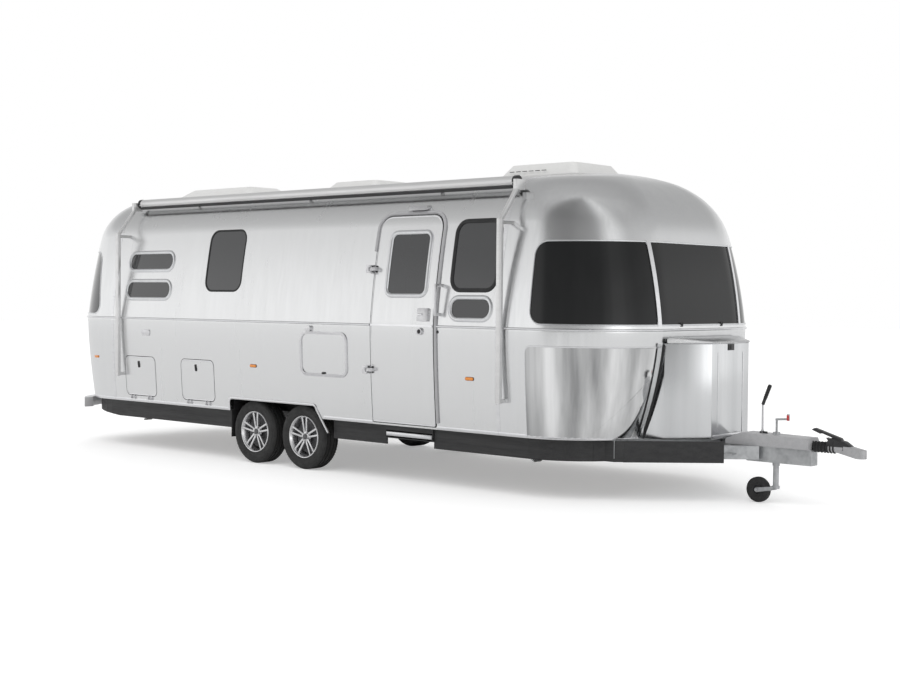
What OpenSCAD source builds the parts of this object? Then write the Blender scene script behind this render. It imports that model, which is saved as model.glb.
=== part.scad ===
// Travel caravan: a twin-axle touring trailer with a rounded aluminium body.
// Millimetres. +X points forward to the coupling, +Y to the left, +Z up.
// The ground is z = 0. While modelling, x = 0 is at the rear axle; the whole
// part is then moved so that its origin lies midway between its two ends.

/* [Body shell] */
// Body width at the belt line
body_w = 2480; // [2200:10:2600]
// Body length from the tail to the nose at the belt line
body_l = 7325; // [6600:25:8600]
// Distance from the rear axle back to the tail
tail_overhang = 3145; // [2900:5:3500]
// Height of the roof ridge above the ground
roof_z = 2633; // [2550:1:2800]
// Height of the belt line, where the body is widest
belt_z = 1345; // [1250:5:1400]
// Height of the lower edge of the body
sill_z = 485; // [470:5:500]
// Thickness of the walls, the roof and the doors
wall_t = 45; // [30:1:60]
// Plan radius of the body corners at the belt line
corner_r = 750; // [600:10:850]
// How far the side walls draw in from the belt to the sill
side_tuck = 45; // [20:5:60]
// How far the nose draws in from the belt to the sill
nose_tuck = 200; // [120:10:240]
// How far the tail draws in from the belt to the sill
tail_tuck = 140; // [80:10:200]
// Length of the moulded front cap, back from the nose
front_cap_l = 1130; // [1120:5:1160]
// Length of the moulded rear cap, forward from the tail
rear_cap_l = 965; // [955:5:1010]
// Thickness of the floor
floor_t = 40; // [25:1:60]

/* [Wheels and axles] */
// Distance between the two axles
axle_gap = 685; // [660:5:760]
// Distance between the outer faces of the tyres on one axle
over_tyres = 2320; // [2100:10:2330]
// Outside diameter of the tyres
tyre_d = 596; // [560:2:620]
// Width of the tyres
tyre_w = 185; // [165:5:205]
// Diameter of the rims
rim_d = 392; // [370:2:410]
// Radius of the axle stubs
stub_r = 30; // [24:1:36]
// Height of the wheel arch above the ground
arch_z = 592; // [585:1:640]

/* [Doors and hatches] */
// Width of the entry door
door_w = 755; // [650:5:800]
// Position of the entry door's hinge edge, ahead of the rear axle
door_x = 1625; // [1500:5:1800]
// Height of the top of the entry door
door_top_z = 2285; // [2200:5:2300]
// Width of the two locker hatches
hatch_w = 520; // [440:5:560]
// Height of the locker hatches
hatch_h = 410; // [350:5:430]
// Gap around each door and hatch
door_gap = 6; // [5:0.5:8]
// Gap at the door's free edge, where its curved leaf swings past the jamb
swing_gap = 20; // [18:1:24]

/* [Drawbar] */
// Distance from the nose forward to the tip of the coupling
drawbar_l = 1425; // [1300:5:1600]
// Height of the towing ball's centre
ball_z = 430; // [400:5:450]
// Radius of the coupling's socket
socket_r = 25.2; // [25.1:0.05:25.5]
// Half the width of the gas locker's front face
locker_half_w = 280; // [240:5:320]
// Height of the top of the gas locker
locker_z = 1240; // [1100:5:1260]

/* [Jockey wheel] */
// Diameter of the jockey wheel
jockey_d = 200; // [160:5:205]
// Distance from the swivel axis back to the jockey wheel's axle
jockey_trail = 150; // [140:5:180]
// Outer radius of the jockey wheel's inner tube
jockey_r = 22; // [18:1:24]

/* [Awning and roof] */
// Length of the awning roller
awning_l = 5090; // [4600:10:5300]
// Radius of the awning roller
awning_r = 48; // [35:1:52]
// Length of the air conditioner's cover
aircon_l = 830; // [600:10:900]
// Width of the air conditioner's cover
aircon_w = 720; // [500:10:800]
// Height of the air conditioner's cover above the roof ridge
aircon_h = 105; // [80:5:200]

/* [Hidden] */

$fn = 64;
// Clearance between pieces that are seated on each other
seat = 0.3;
// A little extra for cutting shapes
over = 5;

// Main stations along the body
nose_x = body_l - tail_overhang;
tail_x = -tail_overhang;
front_seam_x = nose_x - front_cap_l;
rear_seam_x = tail_x + rear_cap_l;
half_w = body_w / 2;
coupling_x = nose_x + drawbar_l;
origin_x = (coupling_x + tail_x) / 2;

// Section of the body: lean of the walls and radius of the roof's shoulders
wall_lean = [4.8, 11.6];
shoulder_r = 500;
shoulder_drop = roof_z - 2190;
shoulder_z = roof_z - shoulder_drop;
roof_edge_angle = 82;
nose_lean = [4.4, 15];
nose_r = 720;
tail_r = 555;

function total_lean(h, lean) = h * (tan(lean[0]) + tan(lean[1])) / 2;
function lean_in(dz, h, lean) =
    tan(lean[0]) * dz + (tan(lean[1]) - tan(lean[0])) * dz * dz / (2 * h);
function tuck_in(z, depth) = depth * pow((belt_z - z) / (belt_z - sill_z), 1.6);

wall_h = shoulder_z - belt_z;
shoulder_in = total_lean(wall_h, wall_lean);
shoulder_yc = half_w - shoulder_in - shoulder_r * cos(wall_lean[1]);
shoulder_zc = shoulder_z - shoulder_r * sin(wall_lean[1]);
roof_half_flat = shoulder_yc + shoulder_r * cos(roof_edge_angle);
roof_r = roof_half_flat / cos(roof_edge_angle);
roof_edge_z = shoulder_zc + shoulder_r * sin(roof_edge_angle);
ridge_z = roof_edge_z + roof_r * (1 - sin(roof_edge_angle));
roof_zc = ridge_z - roof_r;

// The nose and the tail lean in, then turn over to the ridge on one arc each
nose_shoulder_z = ridge_z - nose_r * (1 - sin(nose_lean[1]));
tail_shoulder_z = ridge_z - tail_r * (1 - sin(wall_lean[1]));

function end_in(z, t, r, lean, z_s) =
    let (h = z_s - belt_z, s = min(1, (z - z_s + r * sin(lean[1])) / (r - t)))
    z <= z_s ? lean_in(z - belt_z, h, lean) + t
    : total_lean(h, lean) + r * cos(lean[1]) - (r - t) * sqrt(1 - s * s);
function nose_in(z, t) =
    z < belt_z ? tuck_in(z, nose_tuck) + t
    : end_in(z, t, nose_r, nose_lean, nose_shoulder_z);
function tail_in(z, t) =
    z < belt_z ? tuck_in(z, tail_tuck) + t
    : end_in(z, t, tail_r, wall_lean, tail_shoulder_z);

// Outline points of half the section, [half width, height], from sill to ridge,
// for a surface that lies t inside the skin. A negative t is outside it.
function low_point(z, t) = [half_w - tuck_in(z, side_tuck) - t, z];
function wall_point(z, t) = [half_w - lean_in(z - belt_z, wall_h, wall_lean) - t, z];
function shoulder_point(a, t) =
    [shoulder_yc + (shoulder_r - t) * cos(a), shoulder_zc + (shoulder_r - t) * sin(a)];
function roof_point(f, t) =
    let (y = f * (shoulder_yc + (shoulder_r - t) * cos(roof_edge_angle)))
    [y, roof_zc + sqrt(pow(roof_r - t, 2) - y * y)];
function side_half_w(z) = z < belt_z ? low_point(z, 0)[0]
    : z < shoulder_z ? wall_point(z, 0)[0]
    : shoulder_yc + sqrt(pow(shoulder_r, 2) - pow(z - shoulder_zc, 2));

low_steps = 4;
wall_steps = 4;
shoulder_steps = 8;
roof_steps = 3;
ridge_share = 0.12;
seam_step = 5;
function section(t) = [
    for (i = [0:low_steps]) low_point(sill_z + (belt_z - sill_z) * i / low_steps, t),
    for (i = [1:wall_steps]) wall_point(belt_z + wall_h * i / wall_steps, t),
    for (i = [1:shoulder_steps]) shoulder_point(
        wall_lean[1] + (roof_edge_angle - wall_lean[1]) * i / shoulder_steps, t),
    for (i = [1:roof_steps]) roof_point(1 - (1 - ridge_share) * i / roof_steps, t)];
wall_last = low_steps + wall_steps + seam_step;

// Plan radius of the corners at height z, for a half width w
function plan_r(z, w) =
    let (r = z < belt_z ? corner_r - 0.5 * tuck_in(z, nose_tuck)
        : corner_r - 0.5 * (half_w - w))
    min(r, 0.69 * w);

// One level of an end cap: [height, half width, distance of the end, plan radius]
function level(p, t, front) =
    let (e = front ? nose_x - nose_in(p[1], t) : -tail_x - tail_in(p[1], t),
        seam = front ? front_seam_x : -rear_seam_x)
    [p[1], p[0], e, min(plan_r(p[1], p[0] + t) - t * 0.5, e - seam - 1)];

// A point on a level. Column kinds: 0 distance along the side wall, 1 angle round
// the corner, 2 distance from the centre line on the end face.
function end_point(l, c, side, dir) =
    let (e = l[2], w = l[1], r = l[3],
        u = c[0] == 0 ? min(c[1], e - r) : c[0] == 1 ? e - r + r * sin(c[1]) : e,
        v = c[0] == 0 ? w : c[0] == 1 ? w - r + r * cos(c[1]) : min(c[1], w - r))
    [dir * u, side * v, l[0]];

// Closed shell between two grids of points, each a list of rows
module shell_solid(outer, inner, closed_top) {
    nr = len(outer);
    nc = len(outer[0]);
    n = nr * nc;
    points = [for (row = outer) for (p = row) p, for (row = inner) for (p = row) p];
    top = (nr - 1) * nc;
    faces = [
        for (i = [0:nr - 2]) for (k = [0:nc - 2]) let (a = i * nc + k)
            each [[a, a + nc, a + nc + 1], [a, a + nc + 1, a + 1],
                [n + a, n + a + nc + 1, n + a + nc], [n + a, n + a + 1, n + a + nc + 1]],
        for (k = [0:nc - 2])
            each [[k, k + 1, n + k + 1], [k, n + k + 1, n + k]],
        for (i = [0:nr - 2]) let (a = i * nc, b = a + nc - 1)
            each [[a, n + a, n + a + nc], [a, n + a + nc, a + nc],
                [b, b + nc, n + b + nc], [b, n + b + nc, n + b]],
        if (!closed_top) for (k = [top:top + nc - 2])
            each [[k, n + k + 1, k + 1], [k, n + k, n + k + 1]],
        if (closed_top) each [
            [for (k = [0:nc - 1]) top + k],
            [for (k = [0:nc - 1]) n + top + nc - 1 - k],
            [top, n + top, n + top + nc - 1, top + nc - 1]]];
    polyhedron(points, faces);
}

corner_steps = 9;
face_steps = 2;
face_y = 560;
function corner_columns() = [for (i = [0:corner_steps]) [1, 90 * i / corner_steps]];

// Columns of a whole cap, from the right seam round to the left seam. The order
// is turned for the tail so that the faces still look outwards.
function cap_columns(seam) = concat(
    [[[0, seam], -1], [[0, seam + 40], -1]],
    [for (c = corner_columns()) [c, -1]],
    [for (i = [1:face_steps]) [[2, face_y * (1 - i / (face_steps + 1))], -1]],
    [[[2, 0], 1]],
    [for (i = [face_steps:-1:1]) [[2, face_y * (1 - i / (face_steps + 1))], 1]],
    [for (i = [corner_steps:-1:0]) [[1, 90 * i / corner_steps], 1]],
    [[[0, seam + 40], 1], [[0, seam], 1]]);
function reversed(list) = [for (i = [len(list) - 1:-1:0]) list[i]];
function cap_grid(points, t, front) =
    let (seam = front ? front_seam_x : -rear_seam_x, dir = front ? 1 : -1,
        columns = front ? cap_columns(seam) : reversed(cap_columns(seam)))
    [for (p = points) let (l = level(p, t, front))
        [for (c = columns) end_point(l, c[0], c[1], dir)]];

// A patch of a cap's skin below the shoulders, from height z0 to z1, over a list of
// [column, side]. Its rows share the cap's own stations, so that the two lie flush.
function patch_rows(z0, z1) = concat([z0],
    [for (p = section(0)) if (p[1] > z0 + 1 && p[1] < z1 - 1) p[1]], [z1]);
function patch_points(z0, z1, t) = [for (z = patch_rows(z0, z1))
    z <= belt_z ? low_point(z, t) : wall_point(z, t)];
module cap_patch(z0, z1, columns, t_out, t_in, front) {
    dir = front ? 1 : -1;
    cols = front ? columns : reversed(columns);
    function grid(t) = [for (p = patch_points(z0, z1, t))
        let (l = level(p, t, front)) [for (c = cols) end_point(l, c[0], c[1], dir)]];
    shell_solid(grid(t_out), grid(t_in), false);
}

// Closed plan outline of the body at height z, t inside the skin
plan_steps = corner_steps;
function plan_outline(z, t) =
    let (w = low_point(z, t)[0], r = plan_r(z, w + t) - t * 0.5,
        xf = nose_x - nose_in(z, t), xr = tail_x + tail_in(z, t))
    concat(
        [for (i = [0:plan_steps]) let (a = -90 + 90 * i / plan_steps)
            [xf - r + r * cos(a), -w + r + r * sin(a)]],
        [for (i = [0:plan_steps]) let (a = 90 * i / plan_steps)
            [xf - r + r * cos(a), w - r + r * sin(a)]],
        [for (i = [0:plan_steps]) let (a = 90 + 90 * i / plan_steps)
            [xr + r + r * cos(a), w - r + r * sin(a)]],
        [for (i = [0:plan_steps]) let (a = 180 + 90 * i / plan_steps)
            [xr + r + r * cos(a), -w + r + r * sin(a)]]);

// Shape helpers
module at_origin() { translate([-origin_x, 0, 0]) children(); }
module box(lo, hi) { translate(lo) cube(hi - lo); }
module along_x(x0, x1) {
    translate([x0, 0, 0]) rotate([90, 0, 90]) linear_extrude(x1 - x0) children();
}
module along_y(y0, y1) {
    translate([0, y1, 0]) rotate([90, 0, 0]) linear_extrude(y1 - y0) children();
}
// Rectangle with rounded corners: radius r_low at the bottom, r_high at the top
round_steps = 6;
function arc(x, z, r, from) = [for (i = [0:round_steps])
    let (a = from + 90 * i / round_steps) [x + r * cos(a), z + r * sin(a)]];
module round_rect(x0, z0, x1, z1, r_low, r_high) {
    polygon(concat(
        arc(x1 - r_high, z1 - r_high, r_high, 0), arc(x0 + r_high, z1 - r_high, r_high, 90),
        arc(x0 + r_low, z0 + r_low, r_low, 180), arc(x1 - r_low, z0 + r_low, r_low, 270)));
}
module mirrored_y() { children(); mirror([0, 1, 0]) children(); }
module rod(a, b, r) {
    d = b - a;
    translate(a) rotate([0, acos(d[2] / norm(d)), atan2(d[1], d[0])]) cylinder(r = r, h = norm(d));
}
module bar(a, b, w, h) {
    d = b - a;
    translate(a) rotate([0, acos(d[2] / norm(d)), atan2(d[1], d[0])])
        translate([-h / 2, -w / 2, 0]) cube([h, w, norm(d)]);
}

// Right half of the section as a band between two depths, from one step to another
module band(t_out, t_in, first, last) {
    outer = section(t_out);
    inner = section(t_in);
    polygon(concat([for (i = [first:last]) [-outer[i][0], outer[i][1]]],
        [for (i = [last:-1:first]) [-inner[i][0], inner[i][1]]]));
}
module right_band(x0, x1, t_out, t_in) {
    along_x(x0, x1) band(t_out, t_in, 0, wall_last);
}

// Openings of the side walls, as [x0, z0, x1, z1, corner radius]
tall_window = [-682, 1628, -152, 2212, 100];
upper_slit = [-1960, 1838, -1230, 2010, 84];
lower_slit = [-1960, 1550, -1230, 1722, 84];
fore_window = [2530, 1645, 3010, 2215, 100];
oval_window = [2545, 1412, 2975, 1582, 80];
mid_window = [900, 1628, 1900, 2212, 100];
right_openings = [tall_window, upper_slit, lower_slit, fore_window, oval_window];
left_openings = [tall_window, upper_slit, lower_slit, fore_window, mid_window];
door_window_rect = [1795, 1605, 2250, 2130, 60];
service_hatch_rect = [751, 894, 1316, 1246, 60];
module opening_shape(o, grow) {
    round_rect(o[0] - grow, o[1] - grow, o[2] + grow, o[3] + grow, o[4] + grow, o[4] + grow);
}
module opening_cut(o, grow) { along_y(-half_w - 60, -half_w + 500) opening_shape(o, grow); }

// Door and hatch outlines
door_x1 = door_x + door_w;
door_z0 = sill_z + 15;
door_corner_r = 130;
hatch_z0 = 548;
rear_hatch_x = -1975;
front_hatch_x = -1041;
hatch_corner_r = 60;
door_foot_r = 20;
module door_shape(gap, free_gap) {
    round_rect(door_x + gap, door_z0 + gap, door_x1 - free_gap, door_top_z - gap,
        door_foot_r, door_corner_r);
}
module hatch_shape(x, gap) {
    round_rect(x + gap, hatch_z0 + gap, x + hatch_w - gap, hatch_z0 + hatch_h - gap,
        hatch_corner_r - gap, hatch_corner_r - gap);
}

// Wheel arch: upright behind, sloping ahead
arch_x0 = -tyre_d / 2 - 20;
arch_x1 = axle_gap + tyre_d / 2 - 85;
arch_slope = 160;
arch_low_z = 350;
arch_lift = 20;
module arch_shape(top, low, grow) {
    polygon([[arch_x0 - grow, low], [arch_x0 - grow, top - 40], [arch_x0 - grow + 40, top],
        [arch_x1 + grow - 20, top], [arch_x1 + grow + 20, top - 20],
        [arch_x1 + arch_slope + grow, arch_low_z], [arch_x1 + arch_slope + grow, low]]);
}

module plain_wall() {
    difference() {
        right_band(rear_seam_x, front_seam_x, 0, wall_t);
        along_y(-half_w - 60, -half_w + 300) arch_shape(arch_z + arch_lift, sill_z - over, 0);
    }
}
module right_wall() {
    color([0.84, 0.85, 0.86]) at_origin() difference() {
        plain_wall();
        for (o = right_openings) opening_cut(o, 0);
        opening_cut(service_hatch_rect, 0);
        along_y(-half_w - 60, -half_w + 400) door_shape(0, 0);
        along_y(-half_w - 60, -half_w + 400) hatch_shape(rear_hatch_x, 0);
        along_y(-half_w - 60, -half_w + 400) hatch_shape(front_hatch_x, 0);
    }
}
module left_wall() {
    color([0.84, 0.85, 0.86]) at_origin() mirror([0, 1, 0]) difference() {
        plain_wall();
        for (o = left_openings) opening_cut(o, 0);
        along_y(-half_w - 60, -half_w + 400) hatch_shape(rear_hatch_x, 0);
    }
}
module roof_panel() {
    outer = section(0);
    inner = section(wall_t);
    last = len(outer) - 1;
    color([0.82, 0.83, 0.84]) at_origin() along_x(rear_seam_x, front_seam_x) polygon(concat(
        [for (i = [wall_last:last]) [-outer[i][0], outer[i][1]]],
        [for (i = [last:-1:wall_last]) outer[i]],
        [for (i = [wall_last:last]) inner[i]],
        [for (i = [last:-1:wall_last]) [-inner[i][0], inner[i][1]]]));
}

// Wraparound windows in the two caps
cap_window_z0 = 1385;
cap_window_z1 = 2035;
cap_window_r = 110;
mullion_y = 600;
mullion_half = 28;
front_window_x = nose_x - 802;
rear_window_x = tail_x + 620;
module wrap_cut(x0, x1, gap) {
    mirrored_y() along_y(-half_w - 60, -mullion_y - mullion_half - gap)
        round_rect(x0 + gap, cap_window_z0 + gap, x1 - gap, cap_window_z1 - gap,
            cap_window_r - gap, cap_window_r - gap);
}
module pane_cut(x0, x1, gap) {
    y = mullion_y - mullion_half - gap;
    box([x0, -y, cap_window_z0 + gap], [x1, y, cap_window_z1 - gap]);
}
module front_cap() {
    color([0.84, 0.85, 0.86]) at_origin() difference() {
        shell_solid(cap_grid(section(0), 0, true), cap_grid(section(wall_t), wall_t, true), true);
        wrap_cut(front_window_x, nose_x + 200, 0);
        pane_cut(nose_x - 400, nose_x + 200, 0);
    }
}
module rear_cap() {
    color([0.84, 0.85, 0.86]) at_origin() difference() {
        shell_solid(cap_grid(section(0), 0, false), cap_grid(section(wall_t), wall_t, false), true);
        wrap_cut(tail_x - 200, rear_window_x, 0);
        pane_cut(tail_x - 200, tail_x + 400, 0);
    }
}
glass_out = 8;
glass_in = 14;
module cap_glass(front) {
    edge = front ? front_window_x - 20 : -rear_window_x - 20;
    columns = concat([[[0, edge], -1]], [for (c = corner_columns()) [c, -1]],
        [[[2, 0], 1]], [for (c = reversed(corner_columns())) [c, 1]], [[[0, edge], 1]]);
    intersection() {
        cap_patch(cap_window_z0 - 20, cap_window_z1 + 20, columns, glass_out, glass_in, front);
        union() {
            wrap_cut(front ? front_window_x : tail_x - 200,
                front ? nose_x + 200 : rear_window_x, seat);
            pane_cut(front ? nose_x - 400 : tail_x - 200,
                front ? nose_x + 200 : tail_x + 400, seat);
        }
    }
}
module end_windows() {
    color([0.12, 0.12, 0.13]) at_origin() {
        cap_glass(true);
        cap_glass(false);
    }
}

module side_panes(openings) {
    for (o = openings) intersection() {
        right_band(o[0] - 20, o[2] + 20, glass_out, glass_in);
        opening_cut(o, -seat);
    }
}
module side_windows() {
    color([0.3, 0.3, 0.32]) at_origin() {
        side_panes(right_openings);
        mirror([0, 1, 0]) side_panes(left_openings);
    }
}
frame_w = 26;
frame_t = 8;
module window_frame(o) {
    difference() {
        intersection() {
            right_band(o[0] - 60, o[2] + 60, -frame_t, -seat);
            opening_cut(o, frame_w);
        }
        opening_cut(o, 0);
    }
}
module side_window_frames() {
    color([0.75, 0.76, 0.78]) at_origin() {
        for (o = [tall_window, upper_slit, lower_slit, fore_window]) window_frame(o);
        intersection() {
            window_frame(oval_window);
            box([0, -half_w - 60, belt_z + 12], [nose_x, 0, fore_window[1] - frame_w - 1]);
        }
        mirror([0, 1, 0]) for (o = left_openings) window_frame(o);
    }
}

module floor_pan() {
    color([0.35, 0.34, 0.33]) at_origin() difference() {
        translate([0, 0, sill_z]) linear_extrude(floor_t)
            polygon(plan_outline(sill_z, wall_t + 2 * seat));
        mirrored_y() box([well_x0 - seat, -half_w, sill_z - over],
            [well_x1 + seat, well_y1 + seat, sill_z + floor_t + over]);
        right_band(door_x - over, door_x1 + over, 0, wall_t + door_gap);
    }
}

// Belt moulding round the whole body, broken at the entry door
moulding_h = 20;
moulding_t = 11;
module belt_moulding() {
    color([0.7, 0.71, 0.73]) at_origin() difference() {
        translate([0, 0, belt_z - moulding_h / 2]) linear_extrude(moulding_h) difference() {
            polygon(plan_outline(belt_z, -moulding_t));
            polygon(plan_outline(belt_z, -seat));
        }
        box([door_x - 2, -half_w - 60, belt_z - 60], [door_x1 + 2, 0, belt_z + 60]);
    }
}

// Polished stone guards round the lower front corners
guard_x = nose_x - 849;
guard_z1 = 1216;
guard_t = 3;
guard_y = 575;
module stone_guards() {
    for_columns = concat([[[0, guard_x], -1]], [for (c = corner_columns()) [c, -1]],
        [[[2, guard_y], -1]]);
    color([0.6, 0.61, 0.63]) at_origin() mirrored_y()
        cap_patch(sill_z + 4, guard_z1, for_columns, -guard_t - seat, -seat, true);
}

// Dark skirt below the body
skirt_in = 55;
skirt_t = 15;
skirt_z0 = 315;
skirt_rear_z0 = 345;
module skirts() {
    color([0.1, 0.1, 0.1]) at_origin() difference() {
        translate([0, 0, skirt_z0]) linear_extrude(sill_z - seat - skirt_z0) difference() {
            polygon(plan_outline(sill_z, skirt_in));
            polygon(plan_outline(sill_z, skirt_in + skirt_t));
        }
        box([arch_x0 - 20, -half_w, 0], [arch_x1 + arch_slope + 20, half_w, sill_z + over]);
        along_y(-half_w, half_w) polygon([[tail_x - 1, skirt_z0 - 1], [rear_seam_x, skirt_z0 - 1],
            [tail_x + 300, skirt_z0 + 60], [tail_x - 1, skirt_z0 + 60]]);
        box([step_x0 - 12 - seat, -half_w, 0], [step_x1 + 12 + seat, 0, sill_z + over]);
        mirrored_y() bumper_bracket(1);
        box([a_x0 - 80, -a_y0 - 90, 0], [nose_x, a_y0 + 90, sill_z + over]);
    }
    color([0.1, 0.1, 0.1]) at_origin() mirrored_y()
        translate([a_apex_x, -a_apex_y, 0]) rotate([0, 0, 180 + a_angle])
            box([fairing_from, a_w / 2 + seat, skirt_z0], [fairing_to, a_w / 2 + seat + 10, sill_z - 2]);
}
fairing_from = 275;
fairing_to = 1060;

// Wheel arches and wells
trim_w = 26;
trim_y = side_half_w(sill_z) + 14;
module wheel_arch_trims() {
    color([0.72, 0.73, 0.75]) at_origin() mirrored_y() difference() {
        along_y(-trim_y - 14, -side_half_w(arch_z + trim_w) - seat) difference() {
            arch_shape(arch_z + trim_w, arch_low_z - 10, trim_w);
            arch_shape(arch_z, arch_low_z - 20, 0);
        }
    }
}
well_x0 = arch_x0 - 8;
well_x1 = arch_x1 + arch_slope + 8;
well_y1 = -over_tyres / 2 + tyre_w + 115;
well_top = tyre_d + 60;
well_t = 12;
module wheel_wells() {
    well_y0 = -side_half_w(sill_z) + wall_t + 3;
    color([0.08, 0.08, 0.08]) at_origin() mirrored_y() difference() {
        box([well_x0, well_y0, sill_z], [well_x1, well_y1, well_top]);
        box([well_x0 + well_t, well_y0 - over, sill_z - over],
            [well_x1 - well_t, well_y1 - well_t, well_top - well_t]);
    }
}

// Chassis: two long rails with cross members, and the A-frame ahead of them
rail_y = 700;
rail_w = 60;
rail_z0 = 375;
rail_z1 = sill_z - seat;
cross_w = 50;
cross_x = [-1500, -420, 1230, 2500];
// The rails start where they clear the skirt's rounded rear corners
function tail_corner_x(y, t) =
    let (w = low_point(sill_z, t)[0], r = plan_r(sill_z, w + t) - t * 0.5)
    tail_x + tail_in(sill_z, t) + r - sqrt(pow(r, 2) - pow(max(0, y - w + r), 2));
chassis_x0 = tail_corner_x(rail_y + rail_w / 2, skirt_in + skirt_t) + 2;
module chassis_frame() {
    x0 = chassis_x0;
    x1 = a_x0;
    color([0.55, 0.56, 0.57]) at_origin() {
        mirrored_y() box([x0, -rail_y - rail_w / 2, rail_z0], [x1, -rail_y + rail_w / 2, rail_z1]);
        for (x = concat([x0], cross_x))
            box([x, -rail_y, rail_z0 + 10], [x + cross_w, rail_y, rail_z1]);
        box([x1 - cross_w, -a_y0 - a_w, a_z0], [x1, a_y0 + a_w, rail_z1]);
        mirrored_y() {
            box([jack_x - 60, -rail_y - 90, rail_z0 - 10], [jack_x + 60, -rail_y + 30, rail_z0]);
            for (x = steady_pivot_x) translate([x, -rail_y, steady_pivot_z]) {
                box([-28, -rail_w / 2, -25], [28, 0, rail_z0 + 20 - steady_pivot_z]);
                rotate([90, 0, 0]) cylinder(r = steady_pin_r, h = steady_y - rail_y + 26);
                translate([0, -steady_y + rail_y - 20.5, 0]) rotate([90, 0, 0]) cylinder(r = 15, h = 6);
            }
        }
    }
}
jack_x = -560;

// A-frame rails run from the chassis under the nose together to the drawbar
a_x0 = nose_x - 250;
a_y0 = 790;
a_apex_x = nose_x + 560;
a_apex_y = 62;
a_angle = atan2(a_y0 - a_apex_y, a_apex_x - a_x0);
a_w = 60;
a_z0 = 345;
a_z1 = 450;
tube_half_w = 50;
lug_x = nose_x + 420;
lug_y = a_apex_y + (a_apex_x - lug_x) * tan(a_angle);
lug_t = 10;
lug_hole_r = 9;
lug_hole_out = 62;
lug_out = 84;
module a_frame() {
    run = (a_apex_x - a_x0) / cos(a_angle);
    color([0.58, 0.59, 0.6]) at_origin() difference() {
        union() {
            mirrored_y() translate([a_apex_x, -a_apex_y, 0]) rotate([0, 0, 180 + a_angle])
                box([0, -a_w / 2, a_z0], [run + 60, a_w / 2, a_z1]);
            box([a_apex_x - 110, -tube_half_w, a_z0 - 20], [shaft_x0, tube_half_w, a_z1]);
            mirrored_y() box([lug_x - 30, -lug_y - lug_out, a_z0 + 40],
                [lug_x + 30, -lug_y + 10, a_z0 + 40 + lug_t]);
        }
        translate([jockey_x, 0, 0]) cylinder(r = jockey_outer_r + seat, h = 1000);
        mirrored_y() translate([lug_x, -lug_y - lug_hole_out, 0])
            cylinder(r = lug_hole_r, h = 1000);
        box([a_x0 - 300, -half_w, a_z0 - 100], [a_x0 + seat, half_w, a_z1 + 100]);
    }
}

// Cover over the drawbar, with a hump behind the jockey wheel
shaft_x0 = coupling_x - 419;
cover_t = 5;
cover_half_w = 95;
module drawbar_cover() {
    x0 = nose_x + 285;
    module side(g) {
        polygon([[x0 + 2 * g, a_z1 - 40], [x0 + 2 * g, 490 - g], [x0 + 140, 548 - g],
            [coupling_x - 440, 536 - g], [coupling_x - 425 - g, 500], [coupling_x - 425 - g, a_z1 - 40]]);
    }
    color([0.62, 0.62, 0.63]) at_origin() difference() {
        along_y(-cover_half_w, cover_half_w) side(0);
        along_y(-cover_half_w + cover_t, cover_half_w - cover_t) side(cover_t);
        box([x0 - over, -half_w, 0], [coupling_x, half_w, a_z1 + seat]);
        box([shaft_x0 - 60, -31, 0], [coupling_x, 31, shaft_z + 26]);
        translate([jockey_x, 0, 0]) cylinder(r = jockey_outer_r + 1, h = 1000);
        box([lever_x - 30, -12, a_z1], [lever_x + 60, 12, 700]);
    }
}

// Overrun shaft with its rubber bellows
shaft_r = 25;
shaft_z = 475;
module overrun_shaft() {
    pleats = 6;
    pitch = 112 / pleats;
    color([0.1, 0.1, 0.1]) at_origin() {
        translate([shaft_x0 + seat, 0, shaft_z]) rotate([0, 90, 0]) rotate_extrude() polygon(concat(
            [[0, 0]],
            [for (i = [0:pleats - 1]) each [[36, i * pitch], [44, (i + 0.5) * pitch]]],
            [[36, pleats * pitch], [shaft_r, pleats * pitch], [shaft_r, 190], [0, 190]]));
        box([shaft_x0 - 60, -30, a_z1 + seat], [shaft_x0, 30, shaft_z + 25]);
    }
}

// Coupling head with a vertical socket for the towing ball
head_x0 = shaft_x0 + 125;
ball_x = coupling_x - 42;
module coupling_head() {
    color([0.7, 0.7, 0.7]) at_origin() difference() {
        union() {
            translate([head_x0, 0, shaft_z]) rotate([0, 90, 0]) cylinder(r = 36, h = 120);
            hull() {
                box([head_x0 + 60, -30, shaft_z - 28], [head_x0 + 140, 30, shaft_z + 28]);
                translate([ball_x, 0, ball_z - 20]) cylinder(r = 42, h = 64, $fn = 32);
            }
        }
        translate([ball_x, 0, ball_z - 30]) cylinder(r = socket_r, h = 30);
        translate([ball_x, 0, ball_z]) sphere(r = socket_r);
        translate([head_x0 - over, 0, shaft_z]) rotate([0, 90, 0]) cylinder(r = shaft_r + seat, h = 72);
    }
}
module coupling_handle() {
    z0 = shaft_z + 36 + seat;
    difference() {
        along_y(-24, 24) polygon([[head_x0 + 10, z0], [head_x0 + 115, z0], [head_x0 + 95, z0 + 40],
            [head_x0 - 120, z0 + 105], [head_x0 - 140, z0 + 92], [head_x0 - 30, z0 + 50]]);
        along_y(-60, 60) polygon([[head_x0 + 35, z0 + 14], [head_x0 + 80, z0 + 12],
            [head_x0 + 68, z0 + 30], [head_x0 - 60, z0 + 72], [head_x0 - 75, z0 + 62]]);
    }
}
lever_x = nose_x + 560;
module handbrake_lever() {
    union() {
        box([lever_x - 20, -8, a_z1 + seat], [lever_x + 40, 8, 560]);
        rod([lever_x, 0, 540], [lever_x, 0, 770], 7);
        translate([lever_x, 0, 770]) sphere(r = 8);
        rod([lever_x, 0, 770], [lever_x + 62, 0, 925], 13);
    }
}

module hand_levers() {
    color([0.08, 0.08, 0.08]) at_origin() {
        coupling_handle();
        handbrake_lever();
    }
}

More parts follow.
